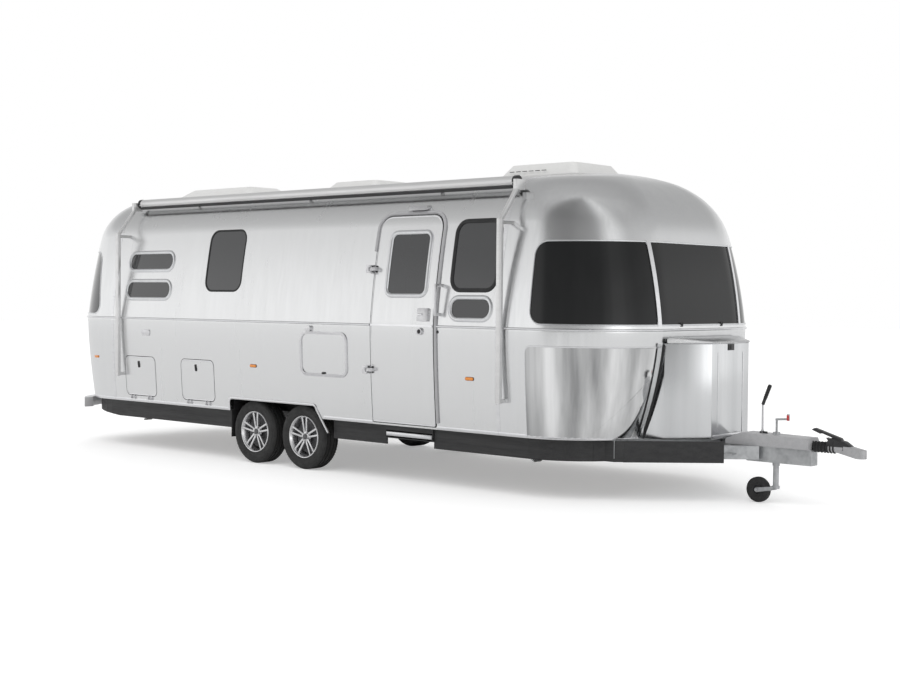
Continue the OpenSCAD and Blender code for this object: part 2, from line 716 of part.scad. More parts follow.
// Axles: a beam under the rails, trailing arms and stubs for the wheels
beam_r = 42;
arm_l = 165;
hub_y = over_tyres / 2 - tyre_w / 2;
stub_l = 110;
module axle(x) {
    beam_z = rail_z0 - beam_r - seat - 4;
    stub_y = hub_y - 60;
    tip = 36;
    tip_drop = tip / arm_l * (beam_z - tyre_d / 2);
    union() {
        translate([x + arm_l, -stub_y + 90, beam_z]) rotate([-90, 0, 0])
            cylinder(r = beam_r, h = 2 * stub_y - 180);
        mirrored_y() {
            bar([x + arm_l, -stub_y + 65, beam_z], [x - tip, -stub_y + 65, tyre_d / 2 - tip_drop],
                40, 76);
            translate([x + arm_l, -stub_y + 40, beam_z]) rotate([-90, 0, 0]) cylinder(r = 48, h = 56);
            translate([x, -stub_y + 80, tyre_d / 2]) rotate([90, 0, 0])
                cylinder(r = stub_r, h = stub_l + 40);
            box([x + arm_l - 40, -rail_y - 30, rail_z0 - 25], [x + arm_l + 40, -rail_y + 30, rail_z0 - seat]);
        }
    }
}
module axles() {
    color([0.3, 0.3, 0.3]) at_origin() {
        axle(0);
        axle(axle_gap);
    }
}

// Wheels. Modelled at the rear right, then moved and mirrored
spokes = 5;
module wheel_shape() {
    hub_w = 60;
    rim_r = rim_d / 2;
    half = tyre_w / 2 - 8;
    rotate([90, 0, 0]) difference() {
        union() {
            rotate_extrude() polygon([[rim_r - 8, -half], [rim_r - 14, -half + 14],
                [rim_r - 30, -10], [rim_r - 30, 30], [rim_r - 16, half - 12], [rim_r - 10, half],
                [rim_r, half], [rim_r, half - 10], [rim_r - 8, half - 16],
                [rim_r - 22, 28], [rim_r - 22, -8], [rim_r - 8, -half + 16],
                [rim_r, -half + 10], [rim_r, -half]]);
            translate([0, 0, 8]) cylinder(r = 62, h = hub_w - 10);
            for (i = [0:spokes - 1]) rotate([0, 0, 90 + i * 360 / spokes]) for (s = [-1, 1])
                rotate([0, 0, 6 * s]) translate([40, s * 14 - 9, 26])
                    cube([rim_r - 64, 18, 34]);
            translate([0, 0, -30]) cylinder(r = 120, h = 36);
            translate([0, 0, -34]) cylinder(r = 50, h = 70);
        }
        translate([0, 0, -60]) cylinder(r = stub_r + 0.05, h = 96);
        for (i = [0:spokes - 1]) rotate([0, 0, 54 + i * 360 / spokes]) translate([50, 0, 40])
            cylinder(r = 8, h = 60);
    }
}
module tyre_shape() {
    rim_r = rim_d / 2 + seat;
    r = tyre_d / 2;
    half = tyre_w / 2;
    rotate([90, 0, 0]) rotate_extrude($fn = 96) polygon([[rim_r, -half + 14], [rim_r + 8, -half + 6],
        [rim_r + 40, -half], [r - 28, -half + 4], [r - 8, -half + 18], [r, -half + 36],
        [r, half - 36], [r - 8, half - 18], [r - 28, half - 4], [rim_r + 40, half],
        [rim_r + 8, half - 6], [rim_r, half - 14], [rim_r, half - 30], [rim_r, -half + 30]]);
}
module on_hub(front, right) {
    at_origin() mirror([0, right ? 0 : 1, 0])
        translate([front ? axle_gap : 0, -hub_y, tyre_d / 2]) children();
}
module wheel_front_right() { color([0.8, 0.8, 0.82]) on_hub(true, true) wheel_shape(); }
module wheel_front_left() { color([0.8, 0.8, 0.82]) on_hub(true, false) wheel_shape(); }
module wheel_rear_right() { color([0.8, 0.8, 0.82]) on_hub(false, true) wheel_shape(); }
module wheel_rear_left() { color([0.8, 0.8, 0.82]) on_hub(false, false) wheel_shape(); }
module tyre_front_right() { color([0.07, 0.07, 0.07]) on_hub(true, true) tyre_shape(); }
module tyre_front_left() { color([0.07, 0.07, 0.07]) on_hub(true, false) tyre_shape(); }
module tyre_rear_right() { color([0.07, 0.07, 0.07]) on_hub(false, true) tyre_shape(); }
module tyre_rear_left() { color([0.07, 0.07, 0.07]) on_hub(false, false) tyre_shape(); }

// Gas locker: a hollow box with 45-degree sides that stands on the A-frame
locker_x1 = nose_x + 268;
locker_z0 = sill_z + 5;
locker_wall = 18;
locker_back_half = 545;
locker_low_drop = 60;
module locker_plan(g) {
    back = nose_x - nose_tuck - 50;
    grow = locker_back_half - locker_half_w;
    polygon([[back, -locker_back_half + g * 1.4 - (nose_x - back - 0) * 0.3],
        [locker_x1 - grow, -locker_back_half + g * 1.4], [locker_x1 - g, -locker_half_w + g * 0.5],
        [locker_x1 - g, locker_half_w - g * 0.5], [locker_x1 - grow, locker_back_half - g * 1.4],
        [back, locker_back_half - g * 1.4 + (nose_x - back) * 0.3]]);
}
module locker_side(g, top) {
    back = [for (z = patch_rows(locker_z0 + g, top))
        [nose_x - nose_in(z, 0) + guard_t + 3 * seat + g, z]];
    polygon(concat(back, [[locker_x1 + 10, top], [locker_x1 + 10, locker_z0 + g]]));
}
module gas_locker() {
    color([0.66, 0.67, 0.69]) at_origin() difference() {
        intersection() {
            translate([0, 0, locker_z0]) linear_extrude(locker_z - locker_z0) locker_plan(0);
            along_y(-700, 700) locker_side(0, locker_z);
        }
        intersection() {
            translate([0, 0, locker_z0 + locker_wall]) linear_extrude(1000) locker_plan(locker_wall);
            along_y(-700, 700) locker_side(locker_wall, locker_z + over);
        }
    }
}
lid_hinge_x = nose_x + 36;
lid_hinge_z = locker_z + 52;
module gas_locker_lid() {
    color([0.5, 0.5, 0.51]) at_origin() intersection() {
        translate([0, 0, locker_z]) linear_extrude(200) offset(delta = 8) locker_plan(0);
        along_y(-700, 700) polygon([[nose_x + 18, locker_z + seat], [locker_x1 + 8, locker_z + seat],
            [locker_x1 + 8, locker_z + 18], [lid_hinge_x, lid_hinge_z - 4],
            [nose_x + 18, lid_hinge_z - 8]]);
    }
}

// Awning: a roller along the right shoulder of the roof, held by two folded arms
awning_a = 50;
awning_stand = 26;
awning_y = shoulder_yc + (shoulder_r + awning_stand + awning_r) * cos(awning_a);
awning_z = shoulder_zc + (shoulder_r + awning_stand + awning_r) * sin(awning_a);
awning_x0 = -2015;
arm_x = [awning_x0 - 12, awning_x0 + awning_l + 32];
arm_w = 44;
arm_y = half_w + 34;
arm_z0 = 745;
arm_z1 = 2215;
module awning_roller() {
    color([0.8, 0.8, 0.8]) at_origin() {
        translate([awning_x0, -awning_y, awning_z]) rotate([0, 90, 0])
            cylinder(r = awning_r, h = awning_l);
        for (x = [awning_x0 + 900, awning_x0 + awning_l / 2, awning_x0 + awning_l - 900])
            difference() {
                bar([x, -awning_y, awning_z], [x, -shoulder_yc, shoulder_zc], 60, 50);
                translate([x - 100, -shoulder_yc, shoulder_zc]) rotate([0, 90, 0])
                    cylinder(r = shoulder_r + seat, h = 200);
            }
    }
}
module awning_arms() {
    module arm(x) {
        box([x - arm_w / 2, -arm_y - 17, arm_z0], [x + arm_w / 2, -arm_y + 17, arm_z1]);
        bar([x, -arm_y, arm_z1 - 20], [x, -awning_y - awning_r - 18, awning_z - 55], arm_w - 14, 27);
        box([x - arm_w / 2 + 2, -awning_y - awning_r - 45, awning_z - 75],
            [x + arm_w / 2 - 2, -awning_y + 10, awning_z + 10]);
        for (z = [arm_z0 + 20, arm_z1 - 30]) difference() {
            box([x - 18, -arm_y, z - 14], [x + 18, -side_half_w(z) + 30, z + 14]);
            right_band(x - 60, x + 60, -seat, 200);
        }
    }
    color([0.72, 0.72, 0.73]) at_origin() for (x = arm_x) difference() {
        arm(x);
        translate([awning_x0 - seat, -awning_y, awning_z]) rotate([0, 90, 0])
            cylinder(r = awning_r + seat, h = awning_l + 2 * seat);
    }
}

// Roof equipment
module on_roof(x0, x1, w, h, taper) {
    difference() {
        translate([0, 0, ridge_z - 40]) hull() {
            linear_extrude(45) offset(r = 60) square_at(x0 + 60, x1 - 60, w / 2 - 60);
            linear_extrude(h + 40) offset(r = 60)
                square_at(x0 + 60 + taper, x1 - 60 - taper, w / 2 - 60 - taper);
        }
        outline = section(-seat);
        along_x(x0 - 100, x1 + 100) polygon(concat(outline, [for (i = [len(outline) - 1:-1:0])
            [-outline[i][0], outline[i][1]]]));
    }
}
module square_at(x0, x1, y) { polygon([[x0, -y], [x1, -y], [x1, y], [x0, y]]); }
module roof_units() {
    aircon_x1 = nose_x - 1020;
    color([0.9, 0.9, 0.9]) at_origin() {
        on_roof(aircon_x1 - aircon_l, aircon_x1, aircon_w, aircon_h, 70);
        on_roof(30, 730, 560, 75, 60);
        on_roof(-2300, -1080, 640, 95, 120);
    }
}

// Fittings on the right wall: vent grille, small cap, plate, porch light, handle
module wall_plate(o, out) {
    intersection() {
        right_band(o[0] - 20, o[2] + 20, -out, -seat);
        opening_cut(o, 0);
    }
}
handle_x = 2435;
module side_fittings() {
    color([0.8, 0.8, 0.81]) at_origin() {
        intersection() {
            right_band(service_hatch_rect[0] - 60, service_hatch_rect[2] + 60, 6, 20);
            opening_cut(service_hatch_rect, -seat);
        }
        window_frame(service_hatch_rect);
        wall_plate([820, 1268, 885, 1322, 22], 22);
        wall_plate([-1660, 1170, -1530, 1232, 25], 8);
        wall_plate([1960, door_top_z + 36, 2170, door_top_z + 76, 15], 45);
        for (z = [1445, 1685]) difference() {
            box([handle_x - 12, -half_w - 42, z - 12], [handle_x + 12, -half_w + 120, z + 12]);
            right_band(handle_x - 60, handle_x + 60, -seat, 300);
        }
        box([handle_x - 10, -half_w - 56, 1433], [handle_x + 10, -half_w - 40, 1697]);
        for (z = hinge_zs) difference() {
            box([door_x - 52, hinge_y(z) - 15, z - 34], [door_x - 2, hinge_y(z) + 90, z + 34]);
            right_band(door_x - 100, door_x + 100, -seat, 300);
            hinge_line(hinge_pin_r + 0.09, z - 60, z + 60);
            box([hinge_x - 14, hinge_y(z) - 30, z - 17], [door_x + 20, hinge_y(z) + 14, z + 17]);
        }
        hatch_ears(rear_hatch_x);
        hatch_ears(front_hatch_x);
        mirror([0, 1, 0]) hatch_ears(rear_hatch_x);
    }
}
module marker_lights() {
    color([0.85, 0.35, 0.1]) at_origin() mirrored_y() {
        for (x = [67, 2760]) wall_plate([x - 45, 912, x + 45, 942, 14], 14);
        cap_patch(918, 940, [[[1, 0], -1], [[1, 10], -1]], -12, -seat, false);
    }
}

// Tail: light clusters on the corners, and a bumper with end caps
module tail_lights() {
    cols = [for (a = [50:90 / corner_steps:80]) [[1, a], -1]];
    color([0.6, 0.05, 0.05]) at_origin() mirrored_y()
        cap_patch(760, 1160, cols, -24, -seat, false);
}
bumper_z0 = 375;
bumper_z1 = 480;
module bumper_bracket(grow) {
    box([tail_x + tail_tuck - 40, -rail_y - 30 - grow, bumper_z0 + 20 - grow],
        [chassis_x0 - seat, -rail_y + 30 + grow, bumper_z1 - 10 + grow]);
}
module rear_bumper() {
    color([0.78, 0.78, 0.79]) at_origin() {
        difference() {
            translate([0, 0, bumper_z0]) linear_extrude(bumper_z1 - bumper_z0) difference() {
                polygon(plan_outline(sill_z, -95));
                polygon(plan_outline(sill_z, -20));
            }
            box([tail_x + 400, -half_w - 200, 0], [coupling_x, half_w + 200, 1000]);
        }
        mirrored_y() bumper_bracket(0);
    }
}

// Sliding entry step in its housing below the door
step_x0 = door_x + 130;
step_x1 = door_x1 - 95;
step_z = 405;
module step_housing() {
    y0 = -side_half_w(sill_z) + 40;
    color([0.12, 0.12, 0.12]) at_origin() difference() {
        box([step_x0 - 12, y0, step_z - 34], [step_x1 + 12, -rail_y - rail_w / 2 - seat, sill_z - seat]);
        box([step_x0 - 6, y0 - over, step_z - 26], [step_x1 + 6, -rail_y - 60, step_z + 34]);
    }
    color([0.12, 0.12, 0.12]) at_origin() for (x = [step_x0 - 6, step_x1 - 24])
        box([x, y0 + 14, step_z - 26], [x + 30, -rail_y - 90, step_z - seat]);
}
module entry_step() {
    y0 = -side_half_w(sill_z) + 46;
    color([0.75, 0.75, 0.76]) at_origin() {
        box([step_x0, y0, step_z], [step_x1, y0 + 330, step_z + 22]);
        box([step_x0, y0 - 12, step_z - 14], [step_x1, y0, step_z + 22]);
    }
}

// Entry door: hinged at its rear edge on a tilted line outside the belt
hinge_zs = [957, 1826];
hinge_tilt_z = [957, 1826];
hinge_low_y = -half_w - 24;
hinge_high_y = -half_w + 16;
function hinge_y(z) = hinge_low_y + (hinge_high_y - hinge_low_y)
    * (z - hinge_tilt_z[0]) / (hinge_tilt_z[1] - hinge_tilt_z[0]);
hinge_x = door_x - 8;
hinge_pin_r = 7;
module hinge_line(r, z0, z1) { rod([hinge_x, hinge_y(z0), z0], [hinge_x, hinge_y(z1), z1], r); }
module entry_door() {
    color([0.86, 0.87, 0.88]) at_origin() difference() {
        union() {
            intersection() {
                right_band(door_x, door_x1, 0, 15);
                along_y(-half_w - 60, -half_w + 400) door_shape(door_gap, swing_gap - 5);
            }
            intersection() {
                right_band(door_x, door_x1, 15, wall_t);
                along_y(-half_w - 60, -half_w + 400) door_shape(door_gap + 4, swing_gap + 12);
            }
        }
        opening_cut(door_window_rect, 0);
    }
}
module entry_door_window() {
    color([0.28, 0.28, 0.3]) at_origin() {
        side_panes([door_window_rect]);
        window_frame(door_window_rect);
    }
}
module door_hardware() {
    color([0.7, 0.7, 0.72]) at_origin() {
        wall_plate([2190, 1385, 2310, 1495, 12], 20);
        wall_plate([2185, 1270, 2250, 1330, 30], 16);
        for (z = hinge_zs) difference() {
            union() {
                hinge_line(hinge_pin_r, z - 33, z + 33);
                hinge_line(11, z - 15, z + 15);
                box([hinge_x, hinge_y(z) - 6, z - 15], [door_x + 46, hinge_y(z) + 6, z + 15]);
                box([door_x + 12, hinge_y(z) - 6, z - 15], [door_x + 46, hinge_y(z) + 90, z + 15]);
            }
            right_band(door_x - 100, door_x + 100, -seat, 300);
        }
    }
}

// Locker hatches: hinged along the lower edge on two short pins each
hatch_t = 24;
hatch_hinge_y = side_half_w(hatch_z0) + 8;
hatch_pin_r = 4;
hatch_hinge_dx = [hatch_w * 0.22, hatch_w * 0.78];
module hatch_pin_line(x, r, half_l) {
    rod([x - half_l, -hatch_hinge_y, hatch_z0], [x + half_l, -hatch_hinge_y, hatch_z0], r);
}
module hatch_ears(x) {
    for (d = hatch_hinge_dx) for (e = [-1, 1]) difference() {
        union() {
            translate([x + d + 26 * e - 8, 0, 0])
                box([0, -hatch_hinge_y - 5.5, hatch_z0 - 34], [16, -hatch_hinge_y + 40, hatch_z0]);
            hatch_pin_line(x + d + 26 * e, 5.5, 8);
        }
        right_band(x - 60, x + hatch_w + 60, -seat, 300);
        hatch_pin_line(x + d, hatch_pin_r + 0.05, 60);
    }
}
module hatch(x) {
    for (d = hatch_hinge_dx) {
        hatch_pin_line(x + d, hatch_pin_r, 34);
        difference() {
            union() {
                hatch_pin_line(x + d, 6, 16);
                box([x + d - 16, -hatch_hinge_y - 5, hatch_z0],
                    [x + d + 16, -hatch_hinge_y + 40, hatch_z0 + 44]);
            }
            right_band(x - 60, x + hatch_w + 60, -seat, 300);
        }
    }
    intersection() {
        right_band(x, x + hatch_w, 0, hatch_t);
        along_y(-half_w - 60, -half_w + 400) hatch_shape(x, door_gap);
    }
    wall_plate([x + hatch_w / 2 - 14, hatch_z0 + hatch_h - 115, x + hatch_w / 2 + 14,
        hatch_z0 + hatch_h - 45, 10], 12);
}
module rear_locker_hatch() { color([0.84, 0.85, 0.86]) at_origin() hatch(rear_hatch_x); }
module front_locker_hatch() { color([0.84, 0.85, 0.86]) at_origin() hatch(front_hatch_x); }
module left_locker_hatch() {
    color([0.84, 0.85, 0.86]) at_origin() mirror([0, 1, 0]) hatch(rear_hatch_x);
}

// Jockey wheel: outer tube fixed in the drawbar, inner tube slides, fork swivels
jockey_x = nose_x + 683;
jockey_outer_r = jockey_r + 6;
fork_top = 142;
axle_pin_r = 7;
module jockey_outer_tube() {
    color([0.7, 0.7, 0.71]) at_origin() {
        difference() {
            translate([jockey_x, 0, 300]) cylinder(r = jockey_outer_r, h = 262);
            translate([jockey_x, 0, 290]) cylinder(r = jockey_r + 0.05, h = 250);
        }
        translate([jockey_x, 0, 562]) cylinder(r = 9, h = 98);
        bar([jockey_x - 8, 0, 660], [jockey_x + 104, 0, 668], 16, 16);
        translate([jockey_x + 98, 0, 660]) cylinder(r = 12, h = 46);
        translate([jockey_x, 0, a_z1 + seat]) difference() {
            cylinder(r = jockey_outer_r + 14, h = 20);
            translate([0, 0, -over]) cylinder(r = jockey_outer_r - 1, h = 40);
        }
    }
}
module jockey_inner_tube() {
    color([0.75, 0.75, 0.76]) at_origin() translate([jockey_x, 0, fork_top]) difference() {
        cylinder(r = jockey_r, h = 262);
        translate([0, 0, -over]) cylinder(r = 12.05, h = 40 + over);
    }
}
module jockey_fork() {
    r = jockey_d / 2;
    cheek_y = 31;
    color([0.72, 0.72, 0.73]) at_origin() translate([jockey_x, 0, 0]) {
        translate([0, 0, fork_top - 4]) cylinder(r = 12, h = 42);
        translate([0, 0, fork_top - 22]) cylinder(r = 30, h = 22 - seat);
        box([-36, -cheek_y - 6, fork_top - 22], [0, cheek_y + 6, fork_top - 8]);
        mirrored_y() difference() {
            hull() {
                box([-36, -cheek_y - 6, fork_top - 34], [-10, -cheek_y, fork_top - 8]);
                translate([-jockey_trail, -cheek_y, r]) rotate([90, 0, 0]) cylinder(r = 17, h = 6, $fn = 32);
            }
            translate([-jockey_trail, 0, r]) rotate([90, 0, 0]) cylinder(r = 8, h = 100);
        }
        translate([-jockey_trail, cheek_y + 10, r]) rotate([90, 0, 0])
            cylinder(r = axle_pin_r, h = 2 * cheek_y + 20);
        mirrored_y() translate([-jockey_trail, -cheek_y - 6, r]) rotate([90, 0, 0]) cylinder(r = 12, h = 5);
    }
}
module jockey_wheel() {
    r = jockey_d / 2;
    bore = axle_pin_r + 0.05;
    color([0.08, 0.08, 0.08]) at_origin() translate([jockey_x - jockey_trail, 0, r])
        rotate([90, 0, 0]) rotate_extrude() polygon([[bore, -30], [18, -30], [20, -14], [r - 32, -14],
            [r - 30, -24], [r - 8, -25], [r, -15], [r, 15], [r - 8, 25], [r - 30, 24],
            [r - 32, 14], [20, 14], [18, 30], [bore, 30]]);
}

// Corner steadies, folded up along the chassis
steady_l = 520;
steady_pivot_x = [nose_x - 560, tail_x + 520];
steady_y = rail_y + 110;
steady_pivot_z = 345;
steady_pin_r = 8;
steady_drop = 60;
steady_swing = 33;
module steady(front) {
    x = steady_pivot_x[front ? 0 : 1];
    dir = front ? -1 : 1;
    color([0.72, 0.72, 0.73]) at_origin() translate([x, -steady_y, steady_pivot_z]) {
        difference() {
            union() {
                rotate([90, 0, 0]) translate([0, 0, -20]) cylinder(r = 22, h = 40);
                bar([0, 0, 0], [dir * (steady_l + 6), 0, -steady_drop], 34, 30);
            }
            rotate([90, 0, 0]) translate([0, 0, -60]) cylinder(r = steady_pin_r + 0.05, h = 120);
        }
        translate([dir * steady_l, 0, -steady_drop]) rotate([0, -dir * steady_swing, 0])
            box([-55, -50, -6], [55, 50, 6]);
    }
}
module steady_front_right() { steady(true); }
module steady_rear_right() { steady(false); }
module steady_front_left() { mirror([0, 1, 0]) steady(true); }
module steady_rear_left() { mirror([0, 1, 0]) steady(false); }

right_wall();
left_wall();
roof_panel();
front_cap();
rear_cap();
floor_pan();
belt_moulding();
stone_guards();
skirts();
wheel_arch_trims();
wheel_wells();
chassis_frame();
a_frame();
drawbar_cover();
overrun_shaft();
coupling_head();
hand_levers();
axles();
side_windows();
end_windows();
side_window_frames();
gas_locker();
gas_locker_lid();
awning_roller();
awning_arms();
roof_units();
side_fittings();
marker_lights();
tail_lights();
rear_bumper();
step_housing();
entry_step();
entry_door();
entry_door_window();
door_hardware();
rear_locker_hatch();
front_locker_hatch();
left_locker_hatch();
wheel_front_right();
wheel_front_left();
wheel_rear_right();
wheel_rear_left();
tyre_front_right();
tyre_front_left();
tyre_rear_right();
tyre_rear_left();
jockey_outer_tube();
jockey_inner_tube();
jockey_fork();
jockey_wheel();
steady_front_right();
steady_front_left();
steady_rear_right();
steady_rear_left();
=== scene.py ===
"""Travel caravan: a twin-axle tourer with a rounded polished body, parked on its jockey wheel.

Each sub-assembly is a class that keeps its sizes as fields, builds its pieces round the
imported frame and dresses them. Lengths are in metres, +X forward, +Y left, +Z up.
"""

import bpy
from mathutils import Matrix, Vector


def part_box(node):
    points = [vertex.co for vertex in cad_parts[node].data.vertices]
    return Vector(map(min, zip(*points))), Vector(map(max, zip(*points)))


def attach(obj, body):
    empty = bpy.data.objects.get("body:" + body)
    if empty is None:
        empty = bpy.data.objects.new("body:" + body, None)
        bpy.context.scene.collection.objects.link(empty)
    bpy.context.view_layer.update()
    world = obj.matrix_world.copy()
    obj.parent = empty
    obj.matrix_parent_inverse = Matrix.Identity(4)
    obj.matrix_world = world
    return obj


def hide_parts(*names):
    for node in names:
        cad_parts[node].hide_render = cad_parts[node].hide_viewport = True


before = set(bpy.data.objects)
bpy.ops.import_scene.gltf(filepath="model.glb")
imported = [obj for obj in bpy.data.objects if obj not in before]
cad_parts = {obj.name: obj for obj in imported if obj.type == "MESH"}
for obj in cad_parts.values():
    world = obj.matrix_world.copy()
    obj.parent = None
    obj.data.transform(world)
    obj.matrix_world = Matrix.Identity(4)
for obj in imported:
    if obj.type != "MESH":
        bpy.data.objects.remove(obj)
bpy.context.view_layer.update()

import logging
from dataclasses import dataclass, field
from enum import Enum
from math import acos, atan2, copysign, cos, hypot, pi, radians, sin, sqrt, tan
from typing import Callable, Optional, Sequence

import bmesh
import bpy
from mathutils import Matrix, Vector

log = logging.getLogger("caravan")
logging.basicConfig(level=logging.INFO, format="%(message)s")

Point2 = tuple[float, float]
RIGHT, LEFT = -1, 1
SHARP = 32.0
ON_SKIN = 0.0006
ALIGNED = 0.85
CUT = (-0.03, 0.09)
CAP_CUT = (-0.03, 0.07)


class Grain(Enum):
    """Which way the marks of a finish run."""

    ALONG = (0.35, 6.0, 9.0)
    UP = (9.0, 9.0, 0.35)
    EVEN = (1.0, 1.0, 1.0)
    # Wide upright bands; on the mirror guards their dark streaks are painted reflections.
    BANDS = (3.4, 3.4, 0.12)


@dataclass(frozen=True)
class Finish:
    """One surface finish.

    Args:
        name: Name of the material.
        slot: Slot of the record that it belongs to. Not used.
        colour: Colour where the marks are lightest; on the mirror guards these marks are painted
            reflection bands.
        shade: Colour where they are darkest.
        metallic: 1 for bare metal, 0 for anything else.
        rough: Lowest and highest roughness.
        grain: Which way the marks run.
        scale: How many marks there are in a metre, before the grain stretches them.
        relief: Depth of the marks, in metres.
        coat: Weight of a clear coat.
        glow: Strength of its own light.
        contrast: How hard the marks stand out, from 0 to 1.
        shine: Specular level.
    """

    name: str
    slot: str
    colour: tuple[float, float, float]
    shade: tuple[float, float, float]
    metallic: float
    rough: tuple[float, float]
    grain: Grain = Grain.EVEN
    scale: float = 40.0
    relief: float = 0.0002
    coat: float = 0.0
    glow: float = 0.0
    contrast: float = 0.5
    shine: float = 0.5


SKIN = Finish("polished_skin", "aluminium_skin", (0.79, 0.795, 0.80), (0.71, 0.715, 0.72), 1.0,
              (0.20, 0.28), Grain.UP, 3.0, 0.0, contrast=0.16)
CAP_SKIN = Finish("polished_cap", "aluminium_skin", (0.80, 0.805, 0.81), (0.68, 0.69, 0.70),
                  1.0, (0.16, 0.24), Grain.UP, 4.0, 0.0, contrast=0.26)
ROOF_SKIN = Finish("roof_sheet", "aluminium_skin", (0.82, 0.82, 0.83), (0.74, 0.74, 0.75), 1.0,
                   (0.26, 0.38), Grain.ALONG, 6.0, 0.0, contrast=0.25)
LINING = Finish("cabin_lining", "aluminium_skin", (0.62, 0.60, 0.57), (0.52, 0.50, 0.47), 0.0,
                (0.5, 0.7), Grain.EVEN, 60.0, 0.0002)
# Mirror guard: the dark shade colour, set at high contrast in wide upright bands, is a painted
# reflection of dark and light studio walls.
GUARD = Finish("mirror_guard", "polished_trim", (0.92, 0.925, 0.93), (0.11, 0.113, 0.117), 1.0,
               (0.05, 0.14), Grain.BANDS, 1.7, 0.0, contrast=0.95)
BRIGHT = Finish("bright_trim", "polished_trim", (0.84, 0.84, 0.85), (0.62, 0.63, 0.65), 1.0,
                (0.14, 0.28), Grain.ALONG, 12.0, 0.0)
SATIN = Finish("satin_fitting", "fitting_metal", (0.74, 0.74, 0.75), (0.60, 0.60, 0.62), 1.0,
               (0.26, 0.42), Grain.EVEN, 55.0, 0.00008)
FRAME = Finish("window_surround", "window_frame", (0.78, 0.79, 0.80), (0.66, 0.67, 0.69), 1.0,
               (0.28, 0.42), Grain.EVEN, 45.0, 0.00005)
GLASS = Finish("tinted_glass", "window_glass", (0.030, 0.031, 0.033), (0.022, 0.023, 0.025), 0.0,
               (0.04, 0.07), Grain.EVEN, 3.0, 0.0, coat=0.6)
END_GLASS = Finish("front_glass", "window_glass", (0.015, 0.0155, 0.016),
                   (0.011, 0.0115, 0.012), 0.0, (0.05, 0.09), Grain.UP, 2.0, 0.0, shine=0.28)
RUBBER = Finish("black_rubber", "black_rubber", (0.022, 0.022, 0.023), (0.012, 0.012, 0.013), 0.0,
                (0.5, 0.75), Grain.EVEN, 120.0, 0.0003)
PLASTIC = Finish("black_moulding", "black_plastic", (0.030, 0.030, 0.032), (0.016, 0.016, 0.017),
                 0.0, (0.35, 0.55), Grain.EVEN, 160.0, 0.00025)
SKIRT = Finish("skirt_plastic", "skirt_plastic", (0.030, 0.030, 0.031), (0.014, 0.014, 0.015),
               0.0, (0.42, 0.65), Grain.ALONG, 20.0, 0.0003)
TYRE = Finish("tyre_rubber", "tyre_rubber", (0.030, 0.030, 0.030), (0.014, 0.014, 0.014), 0.0,
              (0.55, 0.8), Grain.EVEN, 90.0, 0.0004)
ALLOY = Finish("alloy_wheel", "wheel_alloy", (0.80, 0.80, 0.81), (0.62, 0.62, 0.63), 1.0,
               (0.22, 0.36), Grain.EVEN, 35.0, 0.00005)
ALLOY_DARK = Finish("alloy_pocket", "wheel_alloy", (0.16, 0.16, 0.165), (0.09, 0.09, 0.095), 0.6,
                    (0.4, 0.6), Grain.EVEN, 50.0, 0.0001)
GALVANISED = Finish("galvanised_steel", "galvanised_steel", (0.56, 0.57, 0.58),
                    (0.36, 0.37, 0.38), 0.85, (0.35, 0.6), Grain.EVEN, 34.0, 0.00015)
CAST = Finish("cast_coupling", "coupling_metal", (0.52, 0.52, 0.53), (0.36, 0.36, 0.37), 0.5,
              (0.35, 0.55), Grain.EVEN, 140.0, 0.0004)
COVER = Finish("grey_moulding", "drawbar_plastic", (0.46, 0.46, 0.47), (0.34, 0.34, 0.35), 0.0,
               (0.38, 0.55), Grain.EVEN, 130.0, 0.0003)
LOCKER = Finish("locker_sheet", "locker_panel", (0.80, 0.81, 0.82), (0.52, 0.53, 0.54), 1.0,
                (0.14, 0.26), Grain.BANDS, 2.0, 0.0, contrast=0.55)
LID = Finish("locker_lid_paint", "locker_lid", (0.74, 0.745, 0.75), (0.60, 0.605, 0.61), 0.9,
             (0.24, 0.36), Grain.ALONG, 8.0, 0.0)
AWNING = Finish("awning_metal", "awning_metal", (0.80, 0.80, 0.80), (0.70, 0.70, 0.70), 0.75,
                (0.30, 0.44), Grain.ALONG, 14.0, 0.0)
HEM = Finish("awning_hem", "awning_metal", (0.045, 0.045, 0.047), (0.025, 0.025, 0.026), 0.0,
             (0.6, 0.85), Grain.ALONG, 200.0, 0.0003)
ROOF_PLASTIC = Finish("roof_moulding", "roof_plastic", (0.80, 0.80, 0.79), (0.70, 0.70, 0.69),
                      0.0, (0.32, 0.48), Grain.EVEN, 90.0, 0.0002, coat=0.15)
AMBER = Finish("amber_lens", "amber_lens", (0.90, 0.33, 0.05), (0.70, 0.19, 0.02), 0.0,
               (0.10, 0.18), Grain.UP, 220.0, 0.0004, coat=0.5)
RED = Finish("red_lens", "red_lens", (0.42, 0.010, 0.010), (0.22, 0.004, 0.004), 0.0,
             (0.10, 0.18), Grain.UP, 220.0, 0.0004, coat=0.5)
CLEAR = Finish("lamp_lens", "red_lens", (0.85, 0.85, 0.82), (0.60, 0.60, 0.58), 0.0,
               (0.12, 0.2), Grain.UP, 160.0, 0.0004, coat=0.5)
LAMP = Finish("lit_lamp", "fitting_metal", (0.95, 0.94, 0.90), (0.80, 0.79, 0.75), 0.0,
              (0.2, 0.3), Grain.EVEN, 60.0, 0.0, glow=0.35)
BUMPER = Finish("bumper_metal", "bumper_metal", (0.80, 0.80, 0.81), (0.70, 0.70, 0.71), 0.25,
                (0.26, 0.4), Grain.ALONG, 22.0, 0.00008)
TREAD = Finish("step_tread", "step_tread", (0.74, 0.74, 0.75), (0.55, 0.55, 0.56), 1.0,
               (0.3, 0.46), Grain.ALONG, 40.0, 0.0002)
BOARD = Finish("floor_board", "floor_board", (0.34, 0.29, 0.24), (0.22, 0.18, 0.15), 0.0,
               (0.5, 0.7), Grain.ALONG, 18.0, 0.0004)
AXLE = Finish("axle_paint", "axle_steel", (0.085, 0.085, 0.088), (0.04, 0.04, 0.042), 0.2,
              (0.4, 0.65), Grain.EVEN, 60.0, 0.0002)
